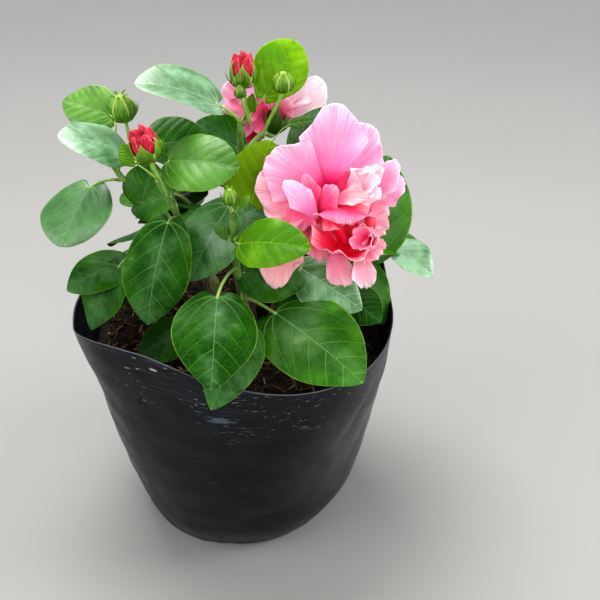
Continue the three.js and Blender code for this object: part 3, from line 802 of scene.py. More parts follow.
def makeLimbs():
    # A tapering tube with a flared foot, a swelling at each leaf scar, and long ridges broken by wrinkles
    material = barkMaterial()
    steps, sides = bark["steps"], bark["sides"]
    turn = turnSteps(sides)
    for k, (name, limb) in enumerate(limbs.items()):
        points = [np.array(p, float) for p in limb["path"]]
        if "on" in limb:
            points.insert(0, limbPoint(limb["on"], limb["at"]))
        else:
            points[0] = points[0] - [0, 0, bark["sunk"]]
        curve = smoothCurve(points, steps)
        limbCurves[name] = curve
        length = np.concatenate([[0], np.cumsum(np.linalg.norm(np.diff(curve, axis=0), axis=1))])
        radius = np.linspace(*limb["radii"], steps) * np.linspace(1, bark["slimmer"], steps)
        if "on" not in limb:
            radius = radius * (1 + bark["flare"] * np.exp(-length / bark["flareHeight"]))
        run = length[:, None]
        spot = run + 3 * np.sin(k) + 5
        away = spot % bark["scarSpacing"] - bark["scarSpacing"] / 2
        towards = np.floor(spot / bark["scarSpacing"]) * bark["scarTurn"]
        swell = bark["scarSwell"] * np.exp(-(away / 2.0) ** 2) * (0.55 + 0.45 * np.cos(turn - towards))
        around = np.stack(np.broadcast_arrays(np.cos(turn) * 4, np.sin(turn) * 4, run * 0.35), -1)
        ridges = bark["ridges"] * np.sin(5 * turn + 0.12 * run + k)
        wrinkles = bark["wrinkles"] * ripples(around * [1, 1, 6], 5, 60 + k)
        relief = 1 + swell + (ridges + wrinkles) * np.linspace(1, 0.35, steps)[:, None]
        newPiece("bark_" + name, [tubeShape(curve, radius, sides, relief)], [material], [name])
    print("limbs ready")


barkColors = {
    "brown": [(0.075, 0.05, 0.03), (0.24, 0.185, 0.115)], "green": [(0.07, 0.16, 0.025), (0.17, 0.3, 0.06)],
    "pore": (0.42, 0.36, 0.24),
}


def barkMaterial():
    # Grey-brown below, green towards the tip, with long streaks and pale breathing pores
    material, start, surface = newMaterial("youngBark", Specular_IOR_Level=0.35)
    place, along = objectPlace(start), mark(start, "along", "Fac")
    streaks = place.scaled(900, 900, 90).noise(1, 4, 0.65)
    blotches = place.noise(120, 3)
    pores = start.add("ShaderNodeTexVoronoi", {}, {"Vector": place, "Scale": 420}).ease(0.16, 0.24, 1, 0)
    brown = streaks.ease(0.35, 0.65).mix(*barkColors["brown"])
    green = blotches.ease(0.3, 0.7).mix(*barkColors["green"])
    color = (along + 0.5 * blotches).ease(0.45, 0.95).mix(brown, green)
    color = (pores * 0.5).mix(color, barkColors["pore"])
    rough = along.ease(0.3, 1, 0.8, 0.45)
    feed(surface, Base_Color=color, Roughness=rough,
         Normal=bumped(start, streaks + 0.5 * pores, 0.5, 0.8))
    return material


# Leaves

def leaf(foot, tip, width, facing, tone="mid", **shape):
    # Foot and tip are photo pixels with their Y, or bare places where they have no pixel
    return {"foot": foot, "tip": tip, "width": width, "facing": facing, "tone": tone, **shape}


# The leaves that show in the photo, under the mass that each belongs to
photoLeaves = {
    "foliage_front_low": [
        leaf((217, 297, -72), (211, 390, -130), 56, (0.1, -0.85, 0.45), "deep", arch=0.06, widest=0.42),
    ],
    "foliage_front_right": [
        leaf((275, 313, -48), (363, 383, -101), 68, (0.05, -0.5, 0.86), "mid", arch=0.06, roundness=0.62),
        leaf((243, 322, -62), (211, 410, -134), 44, (0.25, -0.6, 0.6), "deep", arch=0.10),
    ],
    "foliage_front_bright": [
        leaf((239, 244, -56), (311, 249, -84), 36, (0.05, -0.62, 0.7), "young", arch=0.10, roundness=0.6,
             widest=0.46),
        leaf((238, 217, -32), (280, 200, -8), 42, (0, -0.6, 0.7), "silver", arch=0.05),
        leaf((229, 237, -42), (212, 223, -44), 9, (-0.2, -0.7, 0.7), "bright", arch=0.06, roundness=0.6),
        leaf((238, 207, -44), (250, 195, -42), 6, (0.1, -0.9, 0.4), "young", arch=0.10),
    ],
    "foliage_upper": [
        leaf((249, 212, -22), (270, 140, -6), 46, (0.1, 0.85, -0.3), "young", arch=-0.06, roundness=0.6),
    ],
    "foliage_inner": [
        leaf((229, 206, -25), (190, 281, -50), 46, (-0.2, -0.6, 0.6), "silver", arch=0.06),
    ],
    "foliage_front_left": [
        leaf((168, 222, -38), (148, 325, -74), 48, (-0.1, -0.65, 0.6), "deep", arch=0.09, widest=0.45,
             roundness=0.66),
    ],
    "foliage_middle": [
        leaf((168, 161, -22), (239, 168, -38), 45, (0.1, -0.62, 0.75), "bright", arch=0.08, roundness=0.58,
             widest=0.46),
        leaf((150, 146, 0), (214, 140, 22), 44, (0, -0.6, 0.8), "mid", arch=0.05),
    ],
    "foliage_low_inner": [
        leaf((185, 330, -30), (137, 358, -40), 36, (0, -0.5, 0.85), "deep", arch=0.05),
    ],
    "foliage_left_high": [
        leaf((127, 154, 0), (57, 136, -18), 42, (-0.1, -0.38, 0.92), "frost", arch=0.07, roundness=0.58,
             widest=0.46),
        leaf((113, 116, 25), (63, 100, 36), 36, (0, -0.75, 0.65), "fresh", arch=0.05, roundness=0.6),
    ],
    "foliage_left_outer": [
        leaf((90, 187, -8), (60, 247, -44), 58, (-0.3, -0.5, 0.8), "silver", arch=0.04, roundness=0.55,
             widest=0.47, lobe=0.12, fold=0.14),
    ],
    "foliage_left_inner": [
        leaf((142, 204, -8), (153, 162, 8), 36, (-0.2, -0.9, 0.3), "mid", arch=0.05),
        leaf((172, 196, -15), (131, 210, -5), 30, (-0.1, -0.6, 0.8), "mid", arch=0.05),
        leaf((136, 163, -20), (120, 145, -14), 15, (-0.1, -0.6, 0.8), "young", arch=0.05),
    ],
    "foliage_left_low": [
        leaf((128, 262, -15), (67, 291, -34), 38, (-0.3, -0.5, 0.8), "deep", arch=0.10),
        leaf((119, 266, -22), (91, 330, -48), 38, (-0.3, -0.6, 0.6), "deep", arch=0.10),
        leaf((130, 262, -12), (103, 320, -34), 34, (-0.3, -0.6, 0.6), "deep", arch=0.08),
    ],
    "foliage_top_left": [
        leaf((217, 104, 22), (134, 84, 6), 49, (0, -0.3, 0.95), "frost", arch=0.08, roundness=0.56,
             widest=0.43, fold=0.32),
        leaf((238, 148, 24), (196, 122, 40), 34, (0, -0.8, 0.6), "deep", arch=0.06),
    ],
    "foliage_crest": [
        leaf((264, 97, 18), (296, 41, 30), 38, (0.1, -0.95, 0.3), "lime", arch=0.06, roundness=0.5,
             widest=0.56),
        leaf((252, 112, 18), (253, 93, 16), 9, (-0.3, -0.9, 0.3), "young", arch=0.15),
    ],
    "foliage_behind_bloom": [
        leaf((293, 146, 20), (329, 107, 32), 21, (0, -0.9, 0.3), "silver", arch=0.05),
        leaf((289, 124, 22), (318, 119, 24), 8, (0, -0.9, 0.5), "bright", arch=0.05),
    ],
    "foliage_under_bloom": [
        leaf((300, 268, -25), (362, 310, -45), 42, (-0.3, -0.5, 0.85), "frost", arch=0.06),
        leaf((243, 272, -30), (306, 285, -40), 40, (0, -0.6, 0.7), "deep", arch=0.06),
        leaf((345, 296, -30), (381, 322, -50), 34, (0.1, -0.6, 0.8), "deep", arch=0.06),
    ],
    "foliage_right_low": [
        leaf((352, 258, 5), (384, 325, -15), 36, (0.2, -0.6, 0.6), "mid", arch=0.06),
    ],
    "foliage_right": [
        leaf((368, 256, 0), (388, 155, 30), 56, (0.1, -0.95, 0.3), "mid", arch=0.08),
        leaf((393, 247, 10), (432, 277, -6), 34, (0.2, -0.3, 0.9), "frost", arch=0.10, fold=0.35),
    ],
}

# Sprays that the photo hides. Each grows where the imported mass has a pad: the main leaf's foot and tip,
# its width and facing, and how many smaller leaves the branching rule sets beside it.
backLeft, back, backRight = (-0.4, 0.35, 0.85), (0, 0.5, 0.85), (0.45, 0.35, 0.85)
hiddenSprays = {
    "foliage_left_inner": [((-56, 16, 262), (-78, 44, 262), 40, backLeft, 1)],
    "foliage_left_low": [((-72, -4, 222), (-108, 18, 194), 46, (-0.4, 0, 0.9), 2)],
    "foliage_behind_bloom": [((32, 28, 290), (72, 52, 296), 48, back, 2)],
    "foliage_right_low": [((86, 22, 218), (108, 58, 190), 48, backRight, 2)],
    "foliage_right": [((112, 24, 234), (138, 56, 216), 50, backRight, 2)],
    "foliage_back_left": [((-46, 48, 254), (-84, 82, 244), 52, backLeft, 3),
                          ((-40, 56, 236), (-66, 104, 208), 54, backLeft, 3),
                          ((-58, 34, 230), (-104, 62, 200), 50, backLeft, 3)],
    "foliage_back_middle": [((-8, 66, 276), (-32, 112, 264), 54, back, 3),
                            ((14, 66, 274), (36, 118, 258), 54, back, 3),
                            ((-14, 54, 280), (-52, 72, 284), 46, backLeft, 2)],
    "foliage_back_right": [((66, 44, 252), (108, 80, 246), 56, backRight, 3),
                           ((60, 52, 232), (84, 108, 206), 56, backRight, 3)],
    "foliage_back_low": [((2, 60, 222), (0, 118, 196), 56, back, 3),
                         ((20, 56, 226), (52, 106, 216), 50, back, 3),
                         ((-14, 52, 214), (-40, 90, 178), 48, backLeft, 2)],
}
hubs = {"foliage_left_inner": ("stem_left", 0.6), "foliage_left_low": ("bough_left", 0.9),
        "foliage_behind_bloom": ("stem_top", 0.8), "foliage_right_low": ("bough_right", 0.5),
        "foliage_right": ("bough_right", 0.95), "foliage_back_left": ("bough_back_left", 0.9),
        "foliage_back_middle": ("stem_back", 0.95), "foliage_back_right": ("bough_back_right", 0.9),
        "foliage_back_low": ("stem_back", 0.58)}

leafForm = {
    "seed": 4, "rows": 21, "thickness": 0.5, "lobe": 0.08, "start": 0.03, "widest": 0.42, "roundness": 0.68,
    "arch": 0.07, "fold": 0.13, "drop": 0.15, "ripple": 0.026, "twist": 0.22,
    # Where the columns of points lie between the midrib and the edge
    "columns": (0, 0.16, 0.34, 0.52, 0.7, 0.86, 0.965, 1),
    "tones": ["deep", "mid", "bright", "young", "lime", "silver", "frost", "fresh"],
}
branching = {
    "sideTurn": (34, 62), "sideSize": (0.62, 0.88), "step": (7, 15), "rise": 9, "margin": 7, "lean": 0.22,
    "twigRadius": (1.9, 1.5), "seed": 12,
    # A stalk's short step onward along its limb, and its radii along its length under a leaf 50 wide
    "reach": 11, "stalk": {"at": (0, 0.15, 0.9, 1), "radii": (1.5, 1.1, 0.95, 1.15)},
}


def growSprays(random):
    # The branching rule. A twig runs from its limb to the main leaf's foot. Smaller leaves stand along it
    # by turns left and right, swung out about the main leaf's facing, each at a step further back along the
    # twig and a little higher or lower.
    grown, twigs = {}, []
    for mass, sprays in hiddenSprays.items():
        low, high = (np.array(c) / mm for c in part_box(mass))
        for foot, tip, width, facing, count in sprays:
            foot, tip, facing = (np.array(p, float) for p in (foot, tip, facing))
            hub = limbPoint(*hubs[mass])
            twigs.append([hub, (hub + foot) / 2 + [0, 0, 4], foot - 0.35 * unit(foot - hub)])
            made = [leaf(foot, tip, width, facing, random.choice(["deep", "mid"]))]
            axis, out = tip - foot, unit(facing)
            back = unit(hub - foot)
            for k in range(count):
                turn = math.radians(random.uniform(*branching["sideTurn"])) * (-1) ** k
                swung = axis * math.cos(turn) + np.cross(out, axis) * math.sin(turn)
                size = random.uniform(*branching["sideSize"])
                start = foot + back * (k + 1) * random.uniform(*branching["step"])
                start = start + out * random.uniform(-1, 1) * branching["rise"]
                end = np.clip(start + swung * size, low - branching["margin"], high + branching["margin"])
                lean = unit(facing + random.normal(0, branching["lean"], 3))
                made.append(leaf(start, end, width * size, lean, random.choice(["deep", "mid", "mid"])))
            grown.setdefault(mass, []).extend(made)
    return grown, twigs


def valuesOf(items, key, form):
    # A number from each item, or the form's where the item has none of its own
    return np.array([item.get(key, form[key]) for item in items], float)


def leafShapes(leaves, random):
    # Over u from -1 to 1 and v from 0 to 1 the half width is a stretched sine arch, round at the base and
    # drawn to a short point. Beside the foot the base runs back in two lobes. The blade rises from its sunk
    # midrib, falls away to its edges, and its margin ripples.
    columns = np.array(leafForm["columns"], float)
    u = np.concatenate([-columns[:0:-1], columns])
    s = np.linspace(0, 1, leafForm["rows"])
    v = 0.35 * s + 0.65 * (1 - np.cos(math.pi * s)) / 2
    arch, widest, roundness, lobe, fold = (
        valuesOf(leaves, key, leafForm) for key in ("arch", "widest", "roundness", "lobe", "fold"))
    feet = np.array([item["foot"] for item in leaves])
    tips = np.array([item["tip"] for item in leaves])
    width = np.array([item["width"] for item in leaves], float)
    facing = unit(np.array([item["facing"] for item in leaves], float))
    chord = tips - feet
    length = np.linalg.norm(chord, axis=1)
    axis = chord / length[:, None]
    out = unit(facing - axis * (facing * axis).sum(1, keepdims=True))
    middles = (feet + tips) / 2 + out * (2 * arch * length)[:, None]
    power = np.log(0.5) / np.log(widest)
    start = leafForm["start"]
    half = np.sin(math.pi * (start + (1 - start) * v) ** power[:, None])
    half = np.maximum(np.clip(half, 0, 1) ** roundness[:, None] * (1 - 0.10 * v**5), 0.015)
    wobble = random.uniform(-1, 1, (len(leaves), 6))
    half = half * (1 + 0.02 * np.sin(9 * v + 3 * wobble[:, :1]))
    half3, v3, u3 = half[:, :, None], v[None, :, None], u[None, None]
    big, reach = width[:, None, None] / 2, length[:, None, None]
    lean = 1 + 0.05 * wobble[:, 1, None, None] * np.sign(u3)
    across = big * half3 * u3 * lean
    slide = -reach * lobe[:, None, None] * np.sin(math.pi / 2 * np.abs(u3)) ** 1.4 * (1 - v3) ** 5
    lift = big * half3 * (fold[:, None, None] * np.abs(u3) - leafForm["drop"] * np.abs(u3) ** 2.2)
    phase = 3 * wobble[:, 2, None, None] + 2.1 * np.sign(u3)
    waves = np.sin((9 + 2 * wobble[:, 3, None, None]) * v3 + phase) * np.sin(math.pi * v3) ** 0.5
    lift = lift + leafForm["ripple"] * width[:, None, None] * np.abs(u3) ** 2 * waves
    twist = leafForm["twist"] * wobble[:, 4]
    form = np.stack(np.broadcast_arrays(across / reach, v3 + slide / reach, wobble[:, 5, None, None]), -1)
    tones = [leafForm["tones"].index(item["tone"]) for item in leaves]
    return bladeShapes(u, v, feet, middles, tips, facing, across, slide, lift, twist, leafForm["thickness"],
                       tones, {"form": form})


def nearestStart(foot, carriers):
    # Where a leaf's stalk leaves its limb or twig, and the limb's run there: the spot whose short step
    # onward comes nearest to the foot, though not right at it
    best = None
    for curve in carriers:
        onward = unit(np.gradient(curve, axis=0))
        away = np.linalg.norm(foot - (curve + onward * branching["reach"]), axis=1)
        away = away + 4 * (away < 9)
        k = int(np.argmin(away))
        if best is None or away[k] < best[0]:
            best = (away[k], curve[k], onward[k])
    return best[1], best[2]


def stalkPath(start, onward, foot, axis, count=12):
    # A cubic curve that leaves along the limb's run and meets the blade in line with its midrib
    gap = np.linalg.norm(foot - start)
    straight = unit(foot - start)
    a = start + unit(straight + 0.6 * onward) * gap * 0.4
    b = foot - unit(axis * 0.7 + straight * 0.5) * gap * 0.35
    t = np.linspace(0, 1, count)[:, None]
    return (1 - t) ** 3 * start + 3 * t * (1 - t) ** 2 * a + 3 * t**2 * (1 - t) * b + t**3 * foot


def makeLeaves():
    # The leaves mass by mass, each on a stalk with its stipules, and the twigs of the hidden sprays
    random = np.random.default_rng(leafForm["seed"])
    grown, twigPoints = growSprays(np.random.default_rng(branching["seed"]))
    materials = [leafMaterial(tone) for tone in leafForm["tones"]]
    twigs = [smoothCurve(points, 24) for points in twigPoints]
    carriers = [curve[12:] for curve in limbCurves.values()] + twigs
    stalk = branching["stalk"]
    stalks, starts = [], []
    for mass in photoLeaves | grown:
        leaves = [{**item, "foot": fromPhoto(*item["foot"]), "tip": fromPhoto(*item["tip"])}
                  for item in photoLeaves.get(mass, [])] + grown.get(mass, [])
        newPiece(mass.replace("foliage", "leaves"), leafShapes(leaves, random), materials, [mass])
        for item in leaves:
            axis = unit(item["tip"] - item["foot"])
            start, onward = nearestStart(item["foot"], carriers)
            path = stalkPath(start, onward, item["foot"] + axis * 1.5, axis)
            radii = np.interp(np.linspace(0, 1, len(path)), stalk["at"], stalk["radii"])
            stalks.append(tubeShape(path, radii * math.sqrt(item["width"] / 50), 8))
            starts.append((start, onward, unit(item["foot"] - start)))
    newPiece("leaf_stalks", stalks, [stalkMaterial("freshStalk")])
    shoots = [tubeShape(twig, np.linspace(*branching["twigRadius"], len(twig)), 10) for twig in twigs]
    newPiece("twigs", shoots, [stalkMaterial("youngTwig")])
    makeStipules(starts, random)
    print(len(stalks), "leaves ready")


def makeStipules(starts, random):
    # A pair of narrow pointed stipules beside the foot of each leaf stalk
    feet, tips, facing = [], [], []
    for start, onward, outward in starts:
        side = unit(np.cross(onward, outward) + 1e-6)
        for sign in (-1, 1):
            way = unit(side * sign + outward + onward * 0.8)
            feet.append(start + outward * 2)
            tips.append(start + outward * 4 + way * random.uniform(4, 7))
            facing.append(outward)
    narrow("stipules", feet, tips, facing, 1.3, "young")


def narrow(name, feet, tips, facing, width, tone, bow=0.16):
    # Small strap-shaped blades with a point, bowed the way they face by the part bow of their length.
    # Their mark form takes 10 mm as the length of them all.
    feet, tips, facing = (np.array(x, float) for x in (feet, tips, facing))
    u, v = np.array([-1, -0.5, 0, 0.5, 1]), np.linspace(0, 1, 6)
    count = len(feet)
    length = np.linalg.norm(tips - feet, axis=1)
    middles = (feet + tips) / 2 + facing * (bow * length)[:, None]
    half = width / 2 * np.clip(np.sin(math.pi * (0.12 + 0.86 * v) ** 0.8), 0.05, 1)
    across = np.broadcast_to(half[:, None] * u, (count, len(v), len(u)))
    form = np.stack(np.broadcast_arrays(across / 10, v[None, :, None], 0.0), -1)
    shapes = bladeShapes(u, v, feet, middles, tips, facing, across, np.zeros_like(across),
                         0.25 * np.abs(across), np.zeros(count), 0.35, [0] * count, {"form": form})
    newPiece(name, shapes, [leafMaterial(tone, name)])


# Each tone of leaf: the upper side's dark and light, the underside, the veins, then the weight of the wax
# that gives a silvery sheen, the gloss, and the weight of the painted sheen, pale crinkled patches over the
# middle that stand in for the sky's reflection
leafTones = {
    "deep": ((0.006, 0.046, 0.0005), (0.020, 0.105, 0.0005), (0.05, 0.13, 0.01), (0.10, 0.24, 0.05),
             0.03, 0.06, 0.42),
    "mid": ((0.014, 0.088, 0.002), (0.048, 0.19, 0.003), (0.09, 0.2, 0.02), (0.15, 0.32, 0.06),
            0.12, 0.14, 0.3),
    "bright": ((0.024, 0.105, 0.001), (0.066, 0.21, 0.002), (0.12, 0.25, 0.02), (0.16, 0.33, 0.04),
               0.45, 0.22, 0.2),
    "young": ((0.045, 0.155, 0.0005), (0.125, 0.29, 0.0005), (0.15, 0.28, 0.001), (0.2, 0.37, 0.01),
              0.04, 0.12, 0.1),
    "lime": ((0.09, 0.27, 0.0005), (0.24, 0.47, 0.0005), (0.15, 0.28, 0.002), (0.3, 0.5, 0.01),
             0.04, 0.12, 0.0),
    # Painted sheen: this tone's upper side is leaf green with its blue raised, for the sky's reflection on
    # leaves that face up
    "silver": ((0.018, 0.10, 0.010), (0.055, 0.20, 0.032), (0.08, 0.18, 0.05), (0.17, 0.36, 0.12),
               1.0, 0.22, 0.3),
    # Painted light: this tone's upper side is leaf green paled nearly to white-green, for the sky's
    # reflection and to lift leaves that lie in the bloom's shade
    "frost": ((0.045, 0.15, 0.035), (0.24, 0.43, 0.25), (0.08, 0.18, 0.05), (0.34, 0.54, 0.32),
              1.0, 0.22, 0.3),
    "fresh": ((0.05, 0.17, 0.006), (0.14, 0.35, 0.02), (0.12, 0.25, 0.02), (0.25, 0.46, 0.06),
              0.7, 0.22, 0.1),
}


veinForm = {
    # A vein's line is y = slope * side + bend * side * side in leaf lengths. Two pairs start at the foot.
    # The ribs start further up the midrib, by turns left and right, at even spacings.
    "firstPair": (0.45, 2.9), "secondPair": (-0.1, 2.2), "rib": (0.7, 1.1),
    "ribsFrom": 0.27, "halfSpacing": 0.095, "stagger": 0.05,
}
# The first colour is painted sheen, a pale grey-green for the sky's reflection on a leaf's quilted middle;
# the second tints the edge line
sheenPatchColor, edgeTint = (0.085, 0.175, 0.09), (0.08, 0.1, 0.0)


def pastVein(y, side, slope, bend):
    # How far up the leaf a place lies from a vein's line
    return y - slope * side - bend * side * side


def leafMaterial(tone, name=None):
    # Veins: the midrib, two pairs that leave the foot, and ribs that curve forward off the midrib, with a
    # net of small veins between. The mark form gives the place x, y in leaf lengths and a number of the
    # leaf's own. A thin yellow-green line runs round the edge.
    dark, light, underside, pale, wax, gloss, sheenPatch = leafTones[tone]
    material, start, surface = newMaterial(
        name or "leaf" + tone.capitalize(), Specular_IOR_Level=gloss, Coat_Roughness=0.34)
    form = mark(start, "form")
    x, y, own = parts(form)
    u, v, under = parts(mark(start, "blade"))
    side = x.size()
    midrib = (side / (0.010 - 0.0065 * v)).ease(0.5, 1.1, 1, 0)
    slim = (0.013 - 0.025 * side).most(0.003)
    first, second = ((pastVein(y, side, *veinForm[pair]).size() / slim).ease(0.5, 1.2, 1, 0)
                     for pair in ("firstPair", "secondPair"))
    run = pastVein(y, side, *veinForm["rib"]) + veinForm["stagger"] * x.math("SIGN", x)
    off = run.math("PINGPONG", run - veinForm["ribsFrom"], veinForm["halfSpacing"])
    ribs = (off / (0.0075 - 0.012 * side).most(0.002)).ease(0.5, 1.3, 1, 0)
    ribs = ribs * run.ease(0.2, 0.25) * side.ease(0.26, 0.36, 1, 0)
    net = start.add("ShaderNodeTexVoronoi", {"feature": "DISTANCE_TO_EDGE"}, {"Vector": form, "Scale": 19})
    net = net.ease(0.01, 0.07, 1, 0)
    veins = midrib.most(first.most(second)).most(ribs * 0.7)
    place = objectPlace(start)
    cloud, quilt, speck = place.noise(50, 3), place.noise(150, 2), place.noise(480, 2)
    color = (cloud + 0.12 * own + 0.12 * speck).ease(0.4, 0.8).mix(dark, light)
    # Painted sheen: pale grey-green patches, crinkled by fine noise, over the middle of the blade stand in
    # for the sky's reflection on its quilted surface
    middle = (cloud + 0.2 * own - 1.5 * side).ease(0.2, 0.52)
    sheenCrinkle = place.noise(230, 3, 0.6).ease(0.44, 0.62)
    color = (middle * (0.55 + 0.45 * sheenCrinkle) * sheenPatch).mix(color, sheenPatchColor)
    color = (net * 0.12).mix(color, pale)
    color = (veins * 0.66).mix(color, pale)
    edge = u.size().ease(0.965, 0.99).most(v.ease(0.985, 1))
    color = edge.mix(color, np.add(shade(pale, 0.8), edgeTint).tolist())
    bottom = (net * 0.35).mix(underside, shade(underside, 1.4))
    bottom = (veins * 0.7).mix(bottom, shade(underside, 1.9))
    turned = under.ease(0.3, 0.6)
    color = turned.mix(color, bottom)
    rough = 0.30 + 0.14 * speck + 0.25 * turned + 0.05 * veins
    pillow = off.ease(0, 0.08) * side.ease(0.01, 0.06)
    height = cloud + quilt * 0.25 + pillow * 0.32 + speck * 0.02 - veins * 0.28 - net * 0.06
    coat = (wax * (0.55 + 0.9 * cloud) + 0.5 * cloud.ease(0.6, 0.72)).least(1) * (1 - 0.9 * turned)
    feed(surface, Base_Color=color, Roughness=rough, Coat_Weight=coat,
         Normal=bumped(start, height, 1.5, 0.7))
    return material


# Each kind of stalk: its dark and its light streaks
stalkTones = {
    "freshStalk": ((0.16, 0.33, 0.05), (0.3, 0.47, 0.12)),
    "youngTwig": ((0.08, 0.15, 0.03), (0.2, 0.27, 0.08)),
    "budStalk": ((0.13, 0.3, 0.03), (0.25, 0.45, 0.08)),
    "bloomStalk": ((0.1, 0.25, 0.03), (0.2, 0.38, 0.07)),
}


def stalkMaterial(name):
    # Long streaks from dark to light, lighter towards the tip
    material, start, surface = newMaterial(
        name, Roughness=0.45, Subsurface_Weight=0.1, Subsurface_Scale=0.001)
    place = objectPlace(start)
    streaks = place.scaled(500, 500, 120).noise(1, 3)
    lighter = (streaks + 0.3 * mark(start, "along", "Fac")).ease(0.3, 0.9)
    feed(surface, Base_Color=lighter.mix(*stalkTones[name]), Normal=bumped(start, streaks, 0.25, 0.6))
    return material


# Buds

def bud(middle, axis, radius, height, stalk, bracts=7, **shape):
    # The middle and the spot where the stalk starts are photo pixels with their Y. Cover is how much of the
    # height the calyx wraps, notch how far its edge dips between the lobes, open how far the lobes stand
    # off, and red how high the petals show.
    return {"middle": middle, "axis": axis, "radius": radius, "height": height, "stalk": stalk,
            "bracts": bracts, "cover": 1.0, "notch": 0, "open": 0.0, "red": 0, **shape}


buds = [
    # The closed one at the left, the one that opens, and the three at the crest
    bud((122, 107, 10), (-0.1, -0.15, 1), 8.8, 19, (131, 150, 6), bracts=10),
    bud((145, 146, -30), (-0.14, -0.35, 1), 10.4, 23, (168, 198, -26), bracts=8, cover=0.86, notch=0.46,
        open=0.8, red=0.74),
    bud((243, 71, 15), (0.02, -0.15, 1), 9.2, 23.5, (250, 122, 18), cover=0.84, notch=0.46, open=0.7,
        red=0.70),
    bud((283, 81, 0), (0.05, -0.2, 1), 6.8, 14, (263, 138, 12), bracts=8),
    bud((240, 91, 6), (-0.05, -0.2, 1), 3.4, 9, (249, 124, 16)),
    # The front one, and the two smallest
    bud((230, 196, -50), (0, -0.25, 1), 4.6, 12, (231, 222, -42)),
    bud((289, 147, -12), (0.2, -0.4, 1), 2.0, 5, (276, 170, -8), bracts=8),
    bud((236, 239, -46), (0.3, -0.5, 1), 2.2, 6, (234, 246, -42)),
]
budForm = {
    "columns": 60, "rows": 20, "lobes": 5, "bractWidth": 2.0,
    # The furled petals' points, with the rows down into their hollow
    "furledColumns": 70, "furledRows": 24, "hollowRows": 8,
}


def spokesRound(axis, turns):
    # Directions square to an axis, one for each turn in radians
    first = unit(np.cross(axis, [0.3, 1, 0.1]))
    second = np.cross(axis, first)
    return first * np.cos(turns)[:, None] + second * np.sin(turns)[:, None]


def revolved(middle, axis, radius, height):
    # Rings of points: radius and height arrays, rows by columns, turned about an axis through the middle
    axis = unit(np.array(axis, float))
    spokes = spokesRound(axis, turnSteps(radius.shape[1]))
    return middle + spokes * radius[..., None] + axis * height[..., None]


def calyxShape(middle, axis, radius, height, cover, notch, opened):
    # A cup with five pointed lobes that wraps the part cover of the height. Between its lobes the edge dips
    # by the part notch. Opened 0 closes the lobes over the bud, 1 lets them stand. Each seam is a low ridge.
    turn = turnSteps(budForm["columns"])
    part = np.mod(budForm["lobes"] * turn / (2 * math.pi), 1)
    seam = np.abs(2 * part - 1)
    s = np.linspace(0.02, 1, budForm["rows"])[:, None]
    z = s * cover * (1 - notch * seam**0.9)
    closed = np.abs(np.sin(math.pi * np.clip(0.13 + 0.87 * z / cover, 0, 1) ** 0.9)) ** 0.62
    wide = np.sin(math.pi / 2 * np.clip(z / cover * 1.9, 0, 1)) ** 0.6 * (1 + 0.06 * z / cover)
    r = radius * (closed * (1 - opened) + opened * wide) * (1 + 0.07 * seam**6 - 0.03 * (1 - seam) ** 4)
    outer = revolved(middle, axis, r, (z - 0.5) * height)
    inner = revolved(middle, axis, r * 0.94, (z - 0.5) * height + 0.3 * (1 - s))
    return wallShape(outer, inner, {"along": z / cover, "seam": np.broadcast_to(seam, z.shape)})


def furledShape(middle, axis, radius, height, top):
    # Furled petals: five overlapping folds that wind about the axis to uneven points, round a small hollow.
    # They stand on the bud's foot and reach up to the part top of its height.
    turn = turnSteps(budForm["furledColumns"])
    s = np.linspace(0.02, 1, budForm["furledRows"])[:, None]
    fold = np.mod(5 * turn / (2 * math.pi) + 0.8 * s, 1)
    r = radius * np.sin(math.pi * np.clip(0.14 + 0.68 * s, 0, 1)) ** 0.6 * (0.84 + 0.17 * fold)
    z = s * (top - 0.05 + 0.17 * fold * s**5)
    dip = np.linspace(1, 0, budForm["hollowRows"] + 1)[1:, None]
    inner = np.mod(5 * turn / (2 * math.pi) + 0.8 + 0.5 * (1 - dip), 1)
    r = np.concatenate([r, r[-1] * (0.1 + 0.9 * dip) * (0.9 + 0.16 * inner * (1 - dip))])
    z = np.concatenate([z, z[-1] - 0.1 * (1 - dip) ** 0.7 + 0.03 * inner * dip])
    deep = np.concatenate([np.broadcast_to(s, fold.shape), np.broadcast_to(2 - dip, inner.shape)])
    return ringShape(revolved(middle, axis, r, (z - 0.44) * height),
                     {"along": deep, "seam": np.concatenate([fold, inner])})


